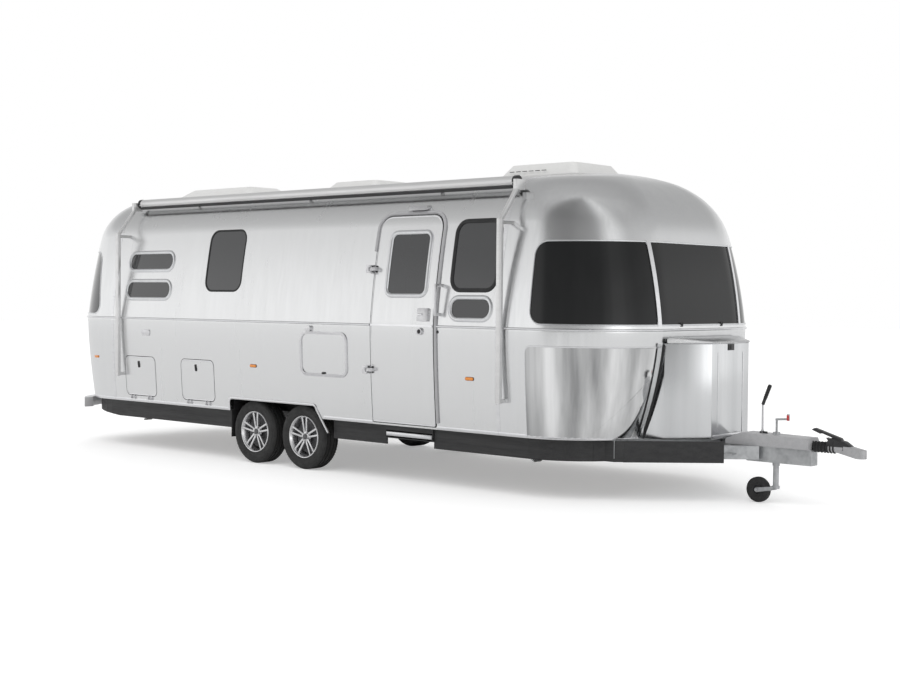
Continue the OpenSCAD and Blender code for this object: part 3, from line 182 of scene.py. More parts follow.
KNOB = Finish("red_knob", "galvanised_steel", (0.60, 0.03, 0.03), (0.40, 0.015, 0.015), 0.0,
              (0.3, 0.42), Grain.EVEN, 120.0, 0.0001, coat=0.2)


def tune(node: bpy.types.Node, values: dict[str, object]) -> None:
    """Sets several inputs of a node by name."""
    for name, value in values.items():
        node.inputs[name].default_value = value


def wire(tree: bpy.types.NodeTree, *links: tuple) -> None:
    """Links nodes, each link given as a node, its output, the next node and its input."""
    for source, output, target, entry in links:
        tree.links.new(source.outputs[output], target.inputs[entry])


class Materials:
    """Builds each finish once and hands the same material out again."""

    def __init__(self) -> None:
        """Starts with an empty shelf and the shared marks group."""
        self.shelf: dict[str, bpy.types.Material] = {}
        self.marks = self._marks_group()

    @staticmethod
    def _marks_group() -> bpy.types.NodeTree:
        """Builds the group that turns a place into colour, roughness and relief.

        Returns:
            The node group.
        """
        tree = bpy.data.node_groups.new("surface_marks", "ShaderNodeTree")
        for name, kind, value in (
            ("Place", "NodeSocketVector", None), ("Colour", "NodeSocketColor", None),
            ("Shade", "NodeSocketColor", None), ("Scale", "NodeSocketFloat", 40.0),
            ("Smooth", "NodeSocketFloat", 0.2), ("Rough", "NodeSocketFloat", 0.5),
            ("Contrast", "NodeSocketFloat", 0.5),
        ):
            socket = tree.interface.new_socket(name, in_out="INPUT", socket_type=kind)
            if value is not None:
                socket.default_value = value
        for name, kind in (("Colour", "NodeSocketColor"), ("Roughness", "NodeSocketFloat"),
                           ("Height", "NodeSocketFloat")):
            tree.interface.new_socket(name, in_out="OUTPUT", socket_type=kind)
        nodes = tree.nodes
        start, end = nodes.new("NodeGroupInput"), nodes.new("NodeGroupOutput")
        fine, broad = nodes.new("ShaderNodeTexNoise"), nodes.new("ShaderNodeTexNoise")
        fine.inputs["Detail"].default_value = 4.0
        broad.inputs["Detail"].default_value = 2.0
        slow = nodes.new("ShaderNodeMath")
        slow.operation = "MULTIPLY"
        slow.inputs[1].default_value = 0.18
        blend = nodes.new("ShaderNodeMix")
        blend.inputs[0].default_value = 0.45
        spread = nodes.new("ShaderNodeMapRange")
        tune(spread, {"From Min": 0.34, "From Max": 0.66})
        soften = nodes.new("ShaderNodeMix")
        soften.inputs[2].default_value = 0.75
        tint = nodes.new("ShaderNodeMix")
        tint.data_type = "RGBA"
        gloss = nodes.new("ShaderNodeMapRange")
        wire(tree, (start, "Place", fine, "Vector"), (start, "Place", broad, "Vector"),
             (start, "Scale", fine, "Scale"), (start, "Scale", slow, 0),
             (slow, 0, broad, "Scale"), (fine, "Fac", blend, 2), (broad, "Fac", blend, 3),
             (blend, 0, spread, "Value"), (start, "Contrast", soften, 0),
             (spread, "Result", soften, 3), (soften, 0, tint, 0), (start, "Shade", tint, 6),
             (start, "Colour", tint, 7), (spread, "Result", gloss, "Value"),
             (start, "Rough", gloss, "To Min"), (start, "Smooth", gloss, "To Max"),
             (tint, 2, end, "Colour"), (gloss, "Result", end, "Roughness"),
             (fine, "Fac", end, "Height"))
        return tree

    def get(self, finish: Finish) -> bpy.types.Material:
        """Gives the material of a finish, and builds it at first use.

        Args:
            finish: The finish that is wanted.

        Returns:
            The material.
        """
        if finish.name in self.shelf:
            return self.shelf[finish.name]
        material = bpy.data.materials.new(finish.name)
        material.use_nodes = True
        tree = material.node_tree
        nodes, shader = tree.nodes, tree.nodes["Principled BSDF"]
        place = nodes.new("ShaderNodeTexCoord")
        stretch = nodes.new("ShaderNodeMapping")
        stretch.inputs["Scale"].default_value = finish.grain.value
        marks = nodes.new("ShaderNodeGroup")
        marks.node_tree = self.marks
        tune(marks, {"Colour": (*finish.colour, 1.0), "Shade": (*finish.shade, 1.0),
                     "Scale": finish.scale, "Smooth": finish.rough[0],
                     "Rough": finish.rough[1], "Contrast": finish.contrast})
        wire(tree, (place, "Object", stretch, "Vector"), (stretch, "Vector", marks, "Place"),
             (marks, "Colour", shader, "Base Color"),
             (marks, "Roughness", shader, "Roughness"))
        if finish.relief > 0.0:
            bump = nodes.new("ShaderNodeBump")
            tune(bump, {"Strength": 0.6, "Distance": finish.relief})
            wire(tree, (marks, "Height", bump, "Height"), (bump, "Normal", shader, "Normal"))
        tune(shader, {"Metallic": finish.metallic, "Coat Weight": finish.coat,
                      "Specular IOR Level": finish.shine})
        if finish.glow > 0.0:
            tune(shader, {"Emission Color": (*finish.colour, 1.0),
                          "Emission Strength": finish.glow})
        self.shelf[finish.name] = material
        return material


MATERIALS = Materials()


def settle(piece: bpy.types.Object) -> None:
    """Applies a piece's modifiers to its mesh."""
    graph = bpy.context.evaluated_depsgraph_get()
    mesh = bpy.data.meshes.new_from_object(piece.evaluated_get(graph), depsgraph=graph)
    piece.modifiers.clear()
    old, piece.data = piece.data, mesh
    mesh.name = piece.name
    bpy.data.meshes.remove(old)


def link_object(name: str, bm: bmesh.types.BMesh) -> bpy.types.Object:
    """Writes a bmesh into a new object of the scene and frees it.

    Args:
        name: Name of the object.
        bm: The mesh that it takes.

    Returns:
        The new object.
    """
    mesh = bpy.data.meshes.new(name)
    bm.to_mesh(mesh)
    bm.free()
    piece = bpy.data.objects.new(name, mesh)
    bpy.context.scene.collection.objects.link(piece)
    return piece


def dress(piece: bpy.types.Object, body: str, finish: Finish, nodes: Sequence[str] = (),
          sharp: Optional[float] = SHARP) -> bpy.types.Object:
    """Gives a piece its finish, shading and body, and reports it.

    Args:
        piece: The object, its modifiers already applied.
        body: Body that it rides on.
        finish: Its finish.
        nodes: CAD nodes that it stands for.
        sharp: Angle in degrees past which an edge stays sharp, or None to leave it.

    Returns:
        The same object.
    """
    mesh = piece.data
    mesh.materials.clear()
    mesh.materials.append(MATERIALS.get(finish))
    if sharp is not None:
        mesh.polygons.foreach_set("use_smooth", [True] * len(mesh.polygons))
        mesh.set_sharp_from_angle(angle=radians(sharp))
    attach(piece, body)
    if nodes:
        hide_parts(*nodes)
    log.info("%s: %d faces on %s", piece.name, len(mesh.polygons), body)
    return piece


def rounded_outline(x0: float, z0: float, x1: float, z1: float, low: float, high: float,
                    grow: float = 0.0, steps: int = 8) -> list[Point2]:
    """Gives a rectangle's outline with rounded corners.

    Args:
        x0, z0, x1, z1: Its sides.
        low, high: Radius of the lower and of the upper corners.
        grow: How far the outline is moved outwards.
        steps: Steps in each corner.

    Returns:
        Points that run anticlockwise.
    """
    x0, z0, x1, z1 = x0 - grow, z0 - grow, x1 + grow, z1 + grow
    low, high = max(low + grow, 0.001), max(high + grow, 0.001)
    corners = ((x1 - high, z1 - high, high, 0), (x0 + high, z1 - high, high, 90),
               (x0 + low, z0 + low, low, 180), (x1 - low, z0 + low, low, 270))
    return [(cx + r * cos(radians(a + 90 * i / steps)),
             cz + r * sin(radians(a + 90 * i / steps)))
            for cx, cz, r, a in corners for i in range(steps + 1)]


def spread_out(a: float, b: float, count: int, skip: int = 0) -> list[float]:
    """Gives even steps from a to b, without the first few."""
    return [a + (b - a) * i / count for i in range(skip, count + 1)]


def quarter(steps: int, skip: int = 0) -> list[float]:
    """Gives the angles of a quarter turn in even steps, without the first few."""
    return [pi / 2 * i / steps for i in range(skip, steps + 1)]


def weave(rows: Sequence[Sequence[Vector]], merge: float = 1e-6) -> bmesh.types.BMesh:
    """Makes a sheet of faces from rows of points.

    Args:
        rows: Rows of equally many points.
        merge: Distance within which points become one.

    Returns:
        The sheet.
    """
    part = bmesh.new()
    high, wide = len(rows) - 1, len(rows[0]) - 1
    bmesh.ops.create_grid(part, x_segments=wide, y_segments=high, size=1.0)
    for vert in part.verts:
        i, j = round((vert.co.x + 1) / 2 * wide), round((vert.co.y + 1) / 2 * high)
        vert.co = rows[j][i]
    bmesh.ops.remove_doubles(part, verts=part.verts, dist=merge)
    return part


def swept(path: Sequence[Point2], section: Sequence[Point2],
          place: Callable[[float, float, float], Vector]) -> list[list[Vector]]:
    """Gives the closed sections of a bar that follows a path.

    Args:
        path: Pairs of distance along and height.
        section: Pairs of distance to the left of the path and depth.
        place: Turns a distance along, a height and a depth into a point.

    Returns:
        One loop of points for each place on the path.
    """
    loops = []
    for k, (x, z) in enumerate(path):
        a, b = path[max(0, k - 1)], path[min(len(path) - 1, k + 1)]
        out = Vector((-(b[1] - a[1]), b[0] - a[0])).normalized()
        ring = [place(x + out.x * aside, z + out.y * aside, depth)
                for aside, depth in section]
        loops.append(ring + ring[:1])
    return loops


class Maker:
    """Collects simple shapes into one mesh."""

    def __init__(self) -> None:
        """Starts with an empty mesh."""
        self.bm = bmesh.new()

    def take(self, part: bmesh.types.BMesh, matrix: Optional[Matrix] = None) -> None:
        """Moves a finished part into the mesh."""
        bmesh.ops.recalc_face_normals(part, faces=part.faces)
        if matrix is not None:
            bmesh.ops.transform(part, matrix=matrix, verts=part.verts)
            if matrix.determinant() < 0:
                bmesh.ops.reverse_faces(part, faces=part.faces)
        mesh = bpy.data.meshes.new("part")
        part.to_mesh(mesh)
        part.free()
        self.bm.from_mesh(mesh)
        bpy.data.meshes.remove(mesh)

    @staticmethod
    def _soften(part: bmesh.types.BMesh, width: float, segments: int = 2,
                angle: float = 30.0) -> None:
        """Bevels the edges of a part that are sharper than an angle in degrees."""
        edges = [e for e in part.edges if e.is_manifold
                 and e.calc_face_angle(0.0) > radians(angle)]
        if width > 0.0 and edges:
            bmesh.ops.bevel(part, geom=edges, offset=width, affect="EDGES", segments=segments,
                            profile=0.5, material=-1, clamp_overlap=True)

    def box(self, low: Sequence[float], high: Sequence[float], bevel: float = 0.002,
            matrix: Optional[Matrix] = None) -> "Maker":
        """Adds a box between two corners, with softened edges."""
        part = bmesh.new()
        bmesh.ops.create_cube(part, size=1.0)
        a, b = Vector(low), Vector(high)
        size = b - a
        bmesh.ops.transform(part, verts=part.verts,
                            matrix=Matrix.Translation((a + b) / 2) @ Matrix.Diagonal((*size, 1)))
        self._soften(part, min(bevel, min(size) * 0.45))
        self.take(part, matrix)
        return self

    def rod(self, a: Sequence[float], b: Sequence[float], radius: float, sides: int = 20,
            bevel: float = 0.0, end: Optional[float] = None) -> "Maker":
        """Adds a round bar from a to b, which may taper to another end radius."""
        start, stop = Vector(a), Vector(b)
        run = stop - start
        part = bmesh.new()
        bmesh.ops.create_cone(part, cap_ends=True, segments=sides, radius1=radius,
                              radius2=radius if end is None else end, depth=run.length)
        self._soften(part, bevel, 2, 60.0)
        turn = run.to_track_quat("Z", "Y").to_matrix().to_4x4()
        self.take(part, Matrix.Translation((start + stop) / 2) @ turn)
        return self

    def prism(self, outline: Sequence[Point2], place: Callable[[float, float], Vector],
              along: Sequence[float], bevel: float = 0.0, segments: int = 2,
              matrix: Optional[Matrix] = None) -> "Maker":
        """Adds an outline pushed along a vector.

        Args:
            outline: Points of the outline.
            place: Turns a point of the outline into a place.
            along: The push.
            bevel: Width of the softened edges.
            segments: Steps in them.
            matrix: A move for the finished shape.

        Returns:
            This maker.
        """
        part = bmesh.new()
        face = part.faces.new([part.verts.new(place(u, v)) for u, v in outline])
        pushed = bmesh.ops.extrude_face_region(part, geom=[face])
        tops = [g for g in pushed["geom"] if isinstance(g, bmesh.types.BMVert)]
        bmesh.ops.translate(part, verts=tops, vec=Vector(along))
        bmesh.ops.recalc_face_normals(part, faces=part.faces)
        self._soften(part, bevel, segments)
        self.take(part, matrix)
        return self

    def lathe(self, profile: Sequence[Point2], at: Sequence[float], axis: Sequence[float],
              steps: int = 48, shape: Optional[Callable[[Vector], Vector]] = None) -> "Maker":
        """Adds a profile spun round an axis.

        Args:
            profile: Pairs of radius and distance along the axis, closed when the ends meet.
            at: A point on the axis.
            axis: Direction of the axis.
            steps: Steps in the turn.
            shape: A last move of each point, made while the axis is +Z.

        Returns:
            This maker.
        """
        part = bmesh.new()
        verts = [part.verts.new((r, 0.0, z)) for r, z in profile]
        edges = [part.edges.new(pair) for pair in zip(verts, verts[1:])]
        if profile[0][0] > 1e-6 or profile[-1][0] > 1e-6:
            edges.append(part.edges.new((verts[-1], verts[0])))
        bmesh.ops.spin(part, geom=verts + edges, cent=(0, 0, 0), axis=(0, 0, 1),
                       angle=2 * pi, steps=steps, use_merge=True)
        bmesh.ops.remove_doubles(part, verts=part.verts, dist=1e-5)
        if shape is not None:
            for vert in part.verts:
                vert.co = shape(vert.co)
        turn = Vector(axis).to_track_quat("Z", "Y").to_matrix().to_4x4()
        self.take(part, Matrix.Translation(Vector(at)) @ turn)
        return self

    def bar(self, loops: Sequence[Sequence[Vector]]) -> "Maker":
        """Adds a bar from the closed sections along it, and fills its ends."""
        part = weave(loops)
        bmesh.ops.holes_fill(part, edges=part.edges, sides=0)
        self.take(part)
        return self

    def piece(self, name: str, body: str, finish: Finish, nodes: Sequence[str] = (),
              sharp: float = SHARP) -> bpy.types.Object:
        """Turns what was collected into a dressed piece."""
        return dress(link_object(name, self.bm), body, finish, nodes, sharp)


def combine(piece: bpy.types.Object, cutter: Maker, operation: str) -> None:
    """Cuts a piece with a maker's shapes, or keeps only what they hold.

    Args:
        piece: The object to change.
        cutter: Closed shapes that don't touch each other.
        operation: DIFFERENCE or INTERSECT.
    """
    tool = link_object("cutter", cutter.bm)
    change = piece.modifiers.new("cut", "BOOLEAN")
    change.object = tool
    change.operation = operation
    change.solver = "EXACT"
    settle(piece)
    bpy.data.meshes.remove(tool.data)


def soft_copy(node: str, name: str, body: str, finish: Finish, width: float = 0.003,
              segments: int = 2) -> bpy.types.Object:
    """Makes a piece from a CAD node's own shape, with softened edges.

    Args:
        node: The CAD node, which the piece stands for.
        name: Name of the piece.
        body: Body that it rides on.
        finish: Its finish.
        width: Width of the softened edges.
        segments: Steps in them.

    Returns:
        The dressed piece.
    """
    bm = bmesh.new()
    bm.from_mesh(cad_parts[node].data)
    bmesh.ops.remove_doubles(bm, verts=bm.verts, dist=2e-5)
    bmesh.ops.dissolve_limit(bm, angle_limit=radians(1.0), verts=bm.verts, edges=bm.edges)
    piece = link_object(name, bm)
    edge = piece.modifiers.new("edges", "BEVEL")
    edge.width = width
    edge.segments = segments
    edge.limit_method = "ANGLE"
    edge.angle_limit = radians(SHARP)
    edge.harden_normals = False
    settle(piece)
    return dress(piece, body, finish, (node,))


@dataclass(frozen=True)
class BodyForm:
    """Outer surface of the body: a rounded rectangle at every height.

    The walls tuck in below the belt and lean in above it, and turn over to the roof on one
    arc. Points round an end are given by their distance from the centre line.
    """

    nose: float = 2.950
    tail: float = -4.375
    front_seam: float = 1.820
    rear_seam: float = -3.410
    half_w: float = 1.240
    belt: float = 1.345
    sill: float = 0.485
    shoulder: float = 2.190
    shoulder_r: float = 0.500
    wall_lean: Point2 = (4.8, 11.6)
    nose_lean: Point2 = (4.4, 15.0)
    roof_edge: float = 82.0
    nose_r: float = 0.720
    tail_r: float = 0.555
    nose_tuck: float = 0.200
    tail_tuck: float = 0.140
    side_tuck: float = 0.045
    corner_r: float = 0.750
    seam_angle: float = 55.6
    wall: float = 0.045

    @staticmethod
    def _lean(dz: float, h: float, lean: Point2) -> float:
        """Gives how far a leaning wall has come in at a height above its foot."""
        low, high = (tan(radians(a)) for a in lean)
        return low * dz + (high - low) * dz * dz / (2 * h)

    def _tuck(self, z: float, depth: float) -> float:
        """Gives how far the body tucks in below the belt."""
        return depth * (max(0.0, self.belt - z) / (self.belt - self.sill)) ** 1.6

    @property
    def shoulder_y(self) -> float:
        """Distance of the shoulder's centre from the middle."""
        h = self.shoulder - self.belt
        return (self.half_w - self._lean(h, h, self.wall_lean)
                - self.shoulder_r * cos(radians(self.wall_lean[1])))

    @property
    def shoulder_z(self) -> float:
        """Height of the shoulder's centre."""
        return self.shoulder - self.shoulder_r * sin(radians(self.wall_lean[1]))

    @property
    def seam_z(self) -> float:
        """Height at which the walls meet the roof sheet."""
        return self.shoulder_z + self.shoulder_r * sin(radians(self.seam_angle))

    @property
    def roof_r(self) -> float:
        """Radius of the crowned roof."""
        edge = cos(radians(self.roof_edge))
        return (self.shoulder_y + self.shoulder_r * edge) / edge

    @property
    def roof_edge_z(self) -> float:
        """Height at which the shoulder meets the roof."""
        return self.shoulder_z + self.shoulder_r * sin(radians(self.roof_edge))

    @property
    def ridge(self) -> float:
        """Height of the middle of the roof."""
        return self.roof_edge_z + self.roof_r * (1 - sin(radians(self.roof_edge)))

    def half_width(self, z: float) -> float:
        """Gives half the body's width at a height."""
        if z < self.belt:
            return self.half_w - self._tuck(z, self.side_tuck)
        if z < self.shoulder:
            return self.half_w - self._lean(z - self.belt, self.shoulder - self.belt,
                                            self.wall_lean)
        if z < self.roof_edge_z:
            rise = z - self.shoulder_z
            return self.shoulder_y + sqrt(max(0.0, self.shoulder_r ** 2 - rise * rise))
        rise = z - (self.ridge - self.roof_r)
        return sqrt(max(0.0, self.roof_r ** 2 - rise * rise))

    def reach(self, z: float, end: int) -> float:
        """Gives how far an end lies from X = 0 at a height."""
        far, tuck = (self.nose, self.nose_tuck) if end > 0 else (-self.tail, self.tail_tuck)
        r, lean = (self.nose_r, self.nose_lean) if end > 0 else (self.tail_r, self.wall_lean)
        if z < self.belt:
            return far - self._tuck(z, tuck)
        sine, cosine = sin(radians(lean[1])), cos(radians(lean[1]))
        top = self.ridge - r * (1 - sine)
        h = top - self.belt
        if z <= top:
            return far - self._lean(z - self.belt, h, lean)
        s = min(1.0, (z - top + r * sine) / r)
        return far - self._lean(h, h, lean) - r * cosine + r * sqrt(max(0.0, 1 - s * s))

    def level(self, z: float, end: int) -> tuple[float, float, float]:
        """Gives an end's outline at a height.

        Args:
            z: The height.
            end: 1 for the nose, -1 for the tail.

        Returns:
            How far the end lies, half the width, and the radius of the corners.
        """
        width, far = self.half_width(z), self.reach(z, end)
        seam = self.front_seam if end > 0 else -self.rear_seam
        r = self.corner_r - 0.5 * (self._tuck(z, self.nose_tuck) if z < self.belt
                                   else self.half_w - width)
        return far, width, max(0.0, min(r, 0.69 * width, far - seam - 0.001))

    def outside(self, x: float, y: float, z: float) -> float:
        """Gives how far a place lies outside the outline at its height."""
        far, width, r = self.level(z, 1 if x > 0 else -1)
        u, v = abs(x) - far + r, abs(y) - width + r
        return hypot(max(u, 0.0), max(v, 0.0)) + min(max(u, v), 0.0) - r

    def normal(self, at: Vector) -> Vector:
        """Gives the outward direction of the surface nearest to a place."""
        x, y, z = at
        z = min(max(z, self.sill + 0.001), self.ridge - 0.0012)
        step = 0.0005
        slope = Vector(((self.outside(x + step, y, z) - self.outside(x - step, y, z)),
                        (self.outside(x, y + step, z) - self.outside(x, y - step, z)),
                        (self.outside(x, y, z + step) - self.outside(x, y, z - step))))
        return slope.normalized() if slope.length > 1e-9 else Vector((0, 0, 1))

    def side(self, x: float, z: float, hand: int, depth: float = 0.0) -> Vector:
        """Gives the point of a side wall at a place along it, depth inside the skin."""
        point = Vector((x, hand * self.half_width(z), z))
        return point - self.normal(point) * depth if depth else point

    def around(self, q: float, z: float, end: int, depth: float = 0.0) -> Vector:
        """Gives a point of an end.

        Args:
            q: Distance round the outline from the centre line, above 0 on the left.
            z: Its height.
            end: 1 for the nose, -1 for the tail.
            depth: How far it lies inside the skin.

        Returns:
            The point.
        """
        far, width, r = self.level(z, end)
        run, flat = abs(q), width - r
        if run <= flat:
            u, v = far, run
        elif run <= flat + r * pi / 2:
            turn = (run - flat) / r
            u, v = far - r + r * cos(turn), flat + r * sin(turn)
        else:
            u, v = far - r - (run - flat - r * pi / 2), width
        point = Vector((end * u, copysign(v, q), z))
        return point - self.normal(point) * depth if depth else point

    def run_to(self, x: float, z: float, end: int) -> float:
        """Gives the distance round the outline at which it reaches a station x."""
        far, width, r = self.level(z, end)
        if abs(x) <= far - r:
            return width - r + r * pi / 2 + far - r - abs(x)
        return width - r + r * acos(max(-1.0, min(1.0, (abs(x) - far + r) / r)))

    def heights(self, low: float, high: float, step: float = 0.035) -> list[float]:
        """Gives heights between two limits, close together where the surface turns."""
        angles = [self.wall_lean[1] + (self.roof_edge - self.wall_lean[1]) * i / 20
                  for i in range(21)]
        arc = [self.shoulder_z + self.shoulder_r * sin(radians(a)) for a in angles]
        count = max(2, round((self.shoulder - self.sill) / step))
        walls = [self.sill + (self.shoulder - self.sill) * i / count for i in range(count)]
        crown = self.ridge - self.roof_r
        half = self.half_width(self.roof_edge_z)
        roof = [crown + sqrt(self.roof_r ** 2 - (half * (1 - i / 8)) ** 2)
                for i in range(1, 9)]
        stations = walls + arc + roof
        return ([low] + [z for z in stations if low + 0.004 < z < high - 0.0004] + [high])

    @staticmethod
    def _seat(point: Vector, out: Vector, along: Vector) -> Matrix:
        """Gives the frame at a point from its outward and its sideways direction."""
        seat = Matrix((along, out.cross(along).normalized(), out)).transposed().to_4x4()
        seat.translation = point
        return seat

    def mount(self, x: float, z: float, hand: int) -> Matrix:
        """Gives a wall fitting's frame: along the wall, up it and out of it."""
        point = self.side(x, z, hand)
        return self._seat(point, self.normal(point), Vector((-hand, 0, 0)))

    def mount_end(self, q: float, z: float, end: int) -> Matrix:
        """Gives an end fitting's frame: along the outline, up it and out of it."""
        point = self.around(q, z, end)
        out = self.normal(point)
        return self._seat(point, out, Vector((0, 0, 1)).cross(out).normalized())


FORM = BodyForm()


def shell(rows: Sequence[Sequence[Vector]], thickness: float) -> bmesh.types.BMesh:
    """Makes a closed shell from rows of points on the outside of the body.

    Args:
        rows: Rows of equally many points.
        thickness: How far the inside lies below them.

    Returns:
        The closed mesh.
    """
    part = weave(rows, 1e-5)
    pushed = bmesh.ops.extrude_face_region(part, geom=part.faces[:])
    for vert in (g for g in pushed["geom"] if isinstance(g, bmesh.types.BMVert)):
        vert.co -= FORM.normal(vert.co) * thickness
    bmesh.ops.recalc_face_normals(part, faces=part.faces)
    return part


def follow_form(piece: bpy.types.Object) -> None:
    """Shades a skin piece by the body's own curve, whatever edges its cuts left."""
    mesh = piece.data
    mesh.polygons.foreach_set("use_smooth", [True] * len(mesh.polygons))
    mesh.set_sharp_from_angle(angle=radians(SHARP))
    cache: dict[int, Vector] = {}
    on_skin: dict[int, bool] = {}
    normals: list[Vector] = [Vector((0, 0, 0))] * len(mesh.loops)
    for face in mesh.polygons:
        for index in face.vertices:
            if index not in cache:
                at = mesh.vertices[index].co
                cache[index] = FORM.normal(at)
                on_skin[index] = abs(FORM.outside(*at)) < ON_SKIN
        outer = all(on_skin[index] for index in face.vertices)
        for loop in face.loop_indices:
            index = mesh.loops[loop].vertex_index
            agree = face.normal.dot(cache[index])
            if outer or agree > ALIGNED:
                normals[loop] = cache[index]
            elif agree < -ALIGNED:
                normals[loop] = -cache[index]
    mesh.normals_split_custom_set(normals)


@dataclass(frozen=True)
class Patch:
    """A rounded rectangle laid on the body.

    Args:
        place: Turns a distance along, a height and a depth into a point.
        low, high: Heights of its lower and upper edge.
        start, stop: Distance along at which it starts and stops, for a height.
        foot, head: Radius of its lower and upper corners.
        columns, rows: Steps along it and up it.
        turns: Steps in each corner.
        near, far: How far the corners are rounded at its start and stop, from 0 to 1.
    """

    place: Callable[[float, float, float], Vector]
    low: float
    high: float
    start: Callable[[float], float]
    stop: Callable[[float], float]
    foot: float
    head: float
    columns: int = 8
    rows: int = 10
    turns: int = 6
    near: float = 1.0
    far: float = 1.0

    def grid(self, grow: float, depth: float) -> list[list[Vector]]:
        """Gives the patch's rows of points, grown outwards and depth inside the skin."""
        low, high = self.low - grow, self.high + grow
        foot, head = max(self.foot + grow, 0.0015), max(self.head + grow, 0.0015)
        angles = quarter(self.turns)
        bands = [(low + foot - foot * cos(a), foot - foot * sin(a)) for a in angles]
        bands += [(low + foot + (high - head - low - foot) * i / self.rows, 0.0)
                  for i in range(1, self.rows)]
        bands += [(high - head + head * sin(a), head - head * cos(a))
                  for a in angles]
        made = []
        for z, inset in bands:
            first = self.start(z) - grow + inset * self.near
            last = self.stop(z) + grow - inset * self.far
            made.append([self.place(q, z, depth)
                         for q in spread_out(first, last, self.columns)])
        return made

    def outline(self, grow: float) -> list[Point2]:
        """Gives the outline, grown outwards, as pairs of distance along and height."""
        low, high = self.low - grow, self.high + grow
        foot, head = max(self.foot + grow, 0.0015), max(self.head + grow, 0.0015)
        turn = quarter(self.turns, 1)
        near, far = self.near, self.far

        def first(z: float, inset: float = 0.0) -> float:
            """Gives where the outline starts at a height."""
            return self.start(z) - grow + inset * near

        def last(z: float, inset: float = 0.0) -> float:
            """Gives where it stops at a height."""
            return self.stop(z) + grow - inset * far

        points = [(q, low) for q in spread_out(first(low, foot), last(low, foot),
                                               self.columns)]
        points += [(last(z, foot - foot * sin(a)), z)
                   for a in turn for z in [low + foot - foot * cos(a)]]
        climb = spread_out(low + foot, high - head, self.rows)
        points += [(last(z), z) for z in climb[1:]]
        points += [(last(z, head - head * cos(a)), z)
                   for a in turn for z in [high - head + head * sin(a)]]
        points += [(q, high) for q in spread_out(last(high, head), first(high, head),
                                                 self.columns, 1)]
        points += [(first(z, head - head * sin(a)), z)
                   for a in turn for z in [high - head + head * cos(a)]]
        points += [(first(z), z) for z in reversed(climb[:-1])]
        points += [(first(z, foot - foot * cos(a)), z)
                   for a in turn[:-1] for z in [low + foot - foot * sin(a)]]
        return points

    def slab(self, maker: Maker, outer: float, inner: float, grow: float = 0.0) -> Maker:
        """Adds the patch to a maker as a slab between two depths."""
        maker.take(shell(self.grid(grow, outer), inner - outer))
        return maker

    def ring(self, maker: Maker, profile: Sequence[Point2]) -> Maker:
        """Adds a bar that runs round the patch.

        Args:
            maker: Takes the bar.
            profile: The bar's closed section, as pairs of growth outwards and depth.

        Returns:
            The maker.
        """
        loops = []
        for grow, depth in profile:
            points = [self.place(q, z, depth) for q, z in self.outline(grow)]
            loops.append(points + points[:1])
        loops.append(loops[0])
        maker.take(weave(loops))
        return maker


def side_patch(x0: float, z0: float, x1: float, z1: float, radius: float, hand: int,
               foot: Optional[float] = None, columns: int = 6, rows: int = 10) -> Patch:
    """Gives a rounded rectangle on a side wall."""
    return Patch(lambda q, z, d: FORM.side(q, z, hand, d), z0, z1, lambda z: x0, lambda z: x1,
                 radius if foot is None else foot, radius, columns, rows)


def end_patch(q0: Callable[[float], float], q1: Callable[[float], float], z0: float,
              z1: float, radius: float, end: int, near: float = 1.0,
              far: float = 1.0) -> Patch:
    """Gives a rounded rectangle on an end."""
    return Patch(lambda q, z, d: FORM.around(q, z, end, d), z0, z1, q0, q1, radius, radius,
                 24, 14, 6, near, far)


SIDE_WINDOWS = {
    "tall": (-1.912, 1.628, -1.382, 2.212, 0.10),
    "upper_slit": (-3.190, 1.838, -2.460, 2.010, 0.084),
    "lower_slit": (-3.190, 1.550, -2.460, 1.722, 0.084),
    "fore": (1.300, 1.645, 1.780, 2.215, 0.10),
}
OVAL_WINDOW = (1.315, 1.412, 1.745, 1.582, 0.08)
MIDDLE_WINDOW = (-0.330, 1.628, 0.670, 2.212, 0.10)
DOOR = (0.395, 0.500, 1.150, 2.285)
DOOR_WINDOW = (0.565, 1.605, 1.020, 2.130, 0.06)
REAR_HATCH = (-3.205, 0.548, -2.685, 0.958)
FORE_HATCH = (-2.271, 0.548, -1.751, 0.958)


def windows_of(hand: int) -> dict[str, tuple[float, ...]]:
    """Gives the windows of one side."""
    extra = {"oval": OVAL_WINDOW} if hand == RIGHT else {"middle": MIDDLE_WINDOW}
    return {**SIDE_WINDOWS, **extra}


def end_panes(end: int) -> dict[str, Patch]:
    """Gives the three panes of an end window."""
    station, bar, z0, z1, radius = (2.148 if end > 0 else 3.755), 0.6, 1.385, 2.035, 0.11
    lean = 0.0 if end > 0 else 0.16
    edge = lambda z: FORM.run_to(station - lean * (z1 + 0.1 - z), z, end)
    inner, outer = bar + 0.014, bar - 0.014
    return {
        "centre": Patch(lambda q, z, d: FORM.around(q, z, end, d), z0, z1,
                        lambda z: -outer, lambda z: outer, 0.012, 0.012, 20, 14),
        "left": end_patch(lambda z: inner, edge, z0, z1, radius, end, near=0.08),
        "right": end_patch(lambda z: -edge(z), lambda z: -inner, z0, z1, radius, end,
                           far=0.08),
    }


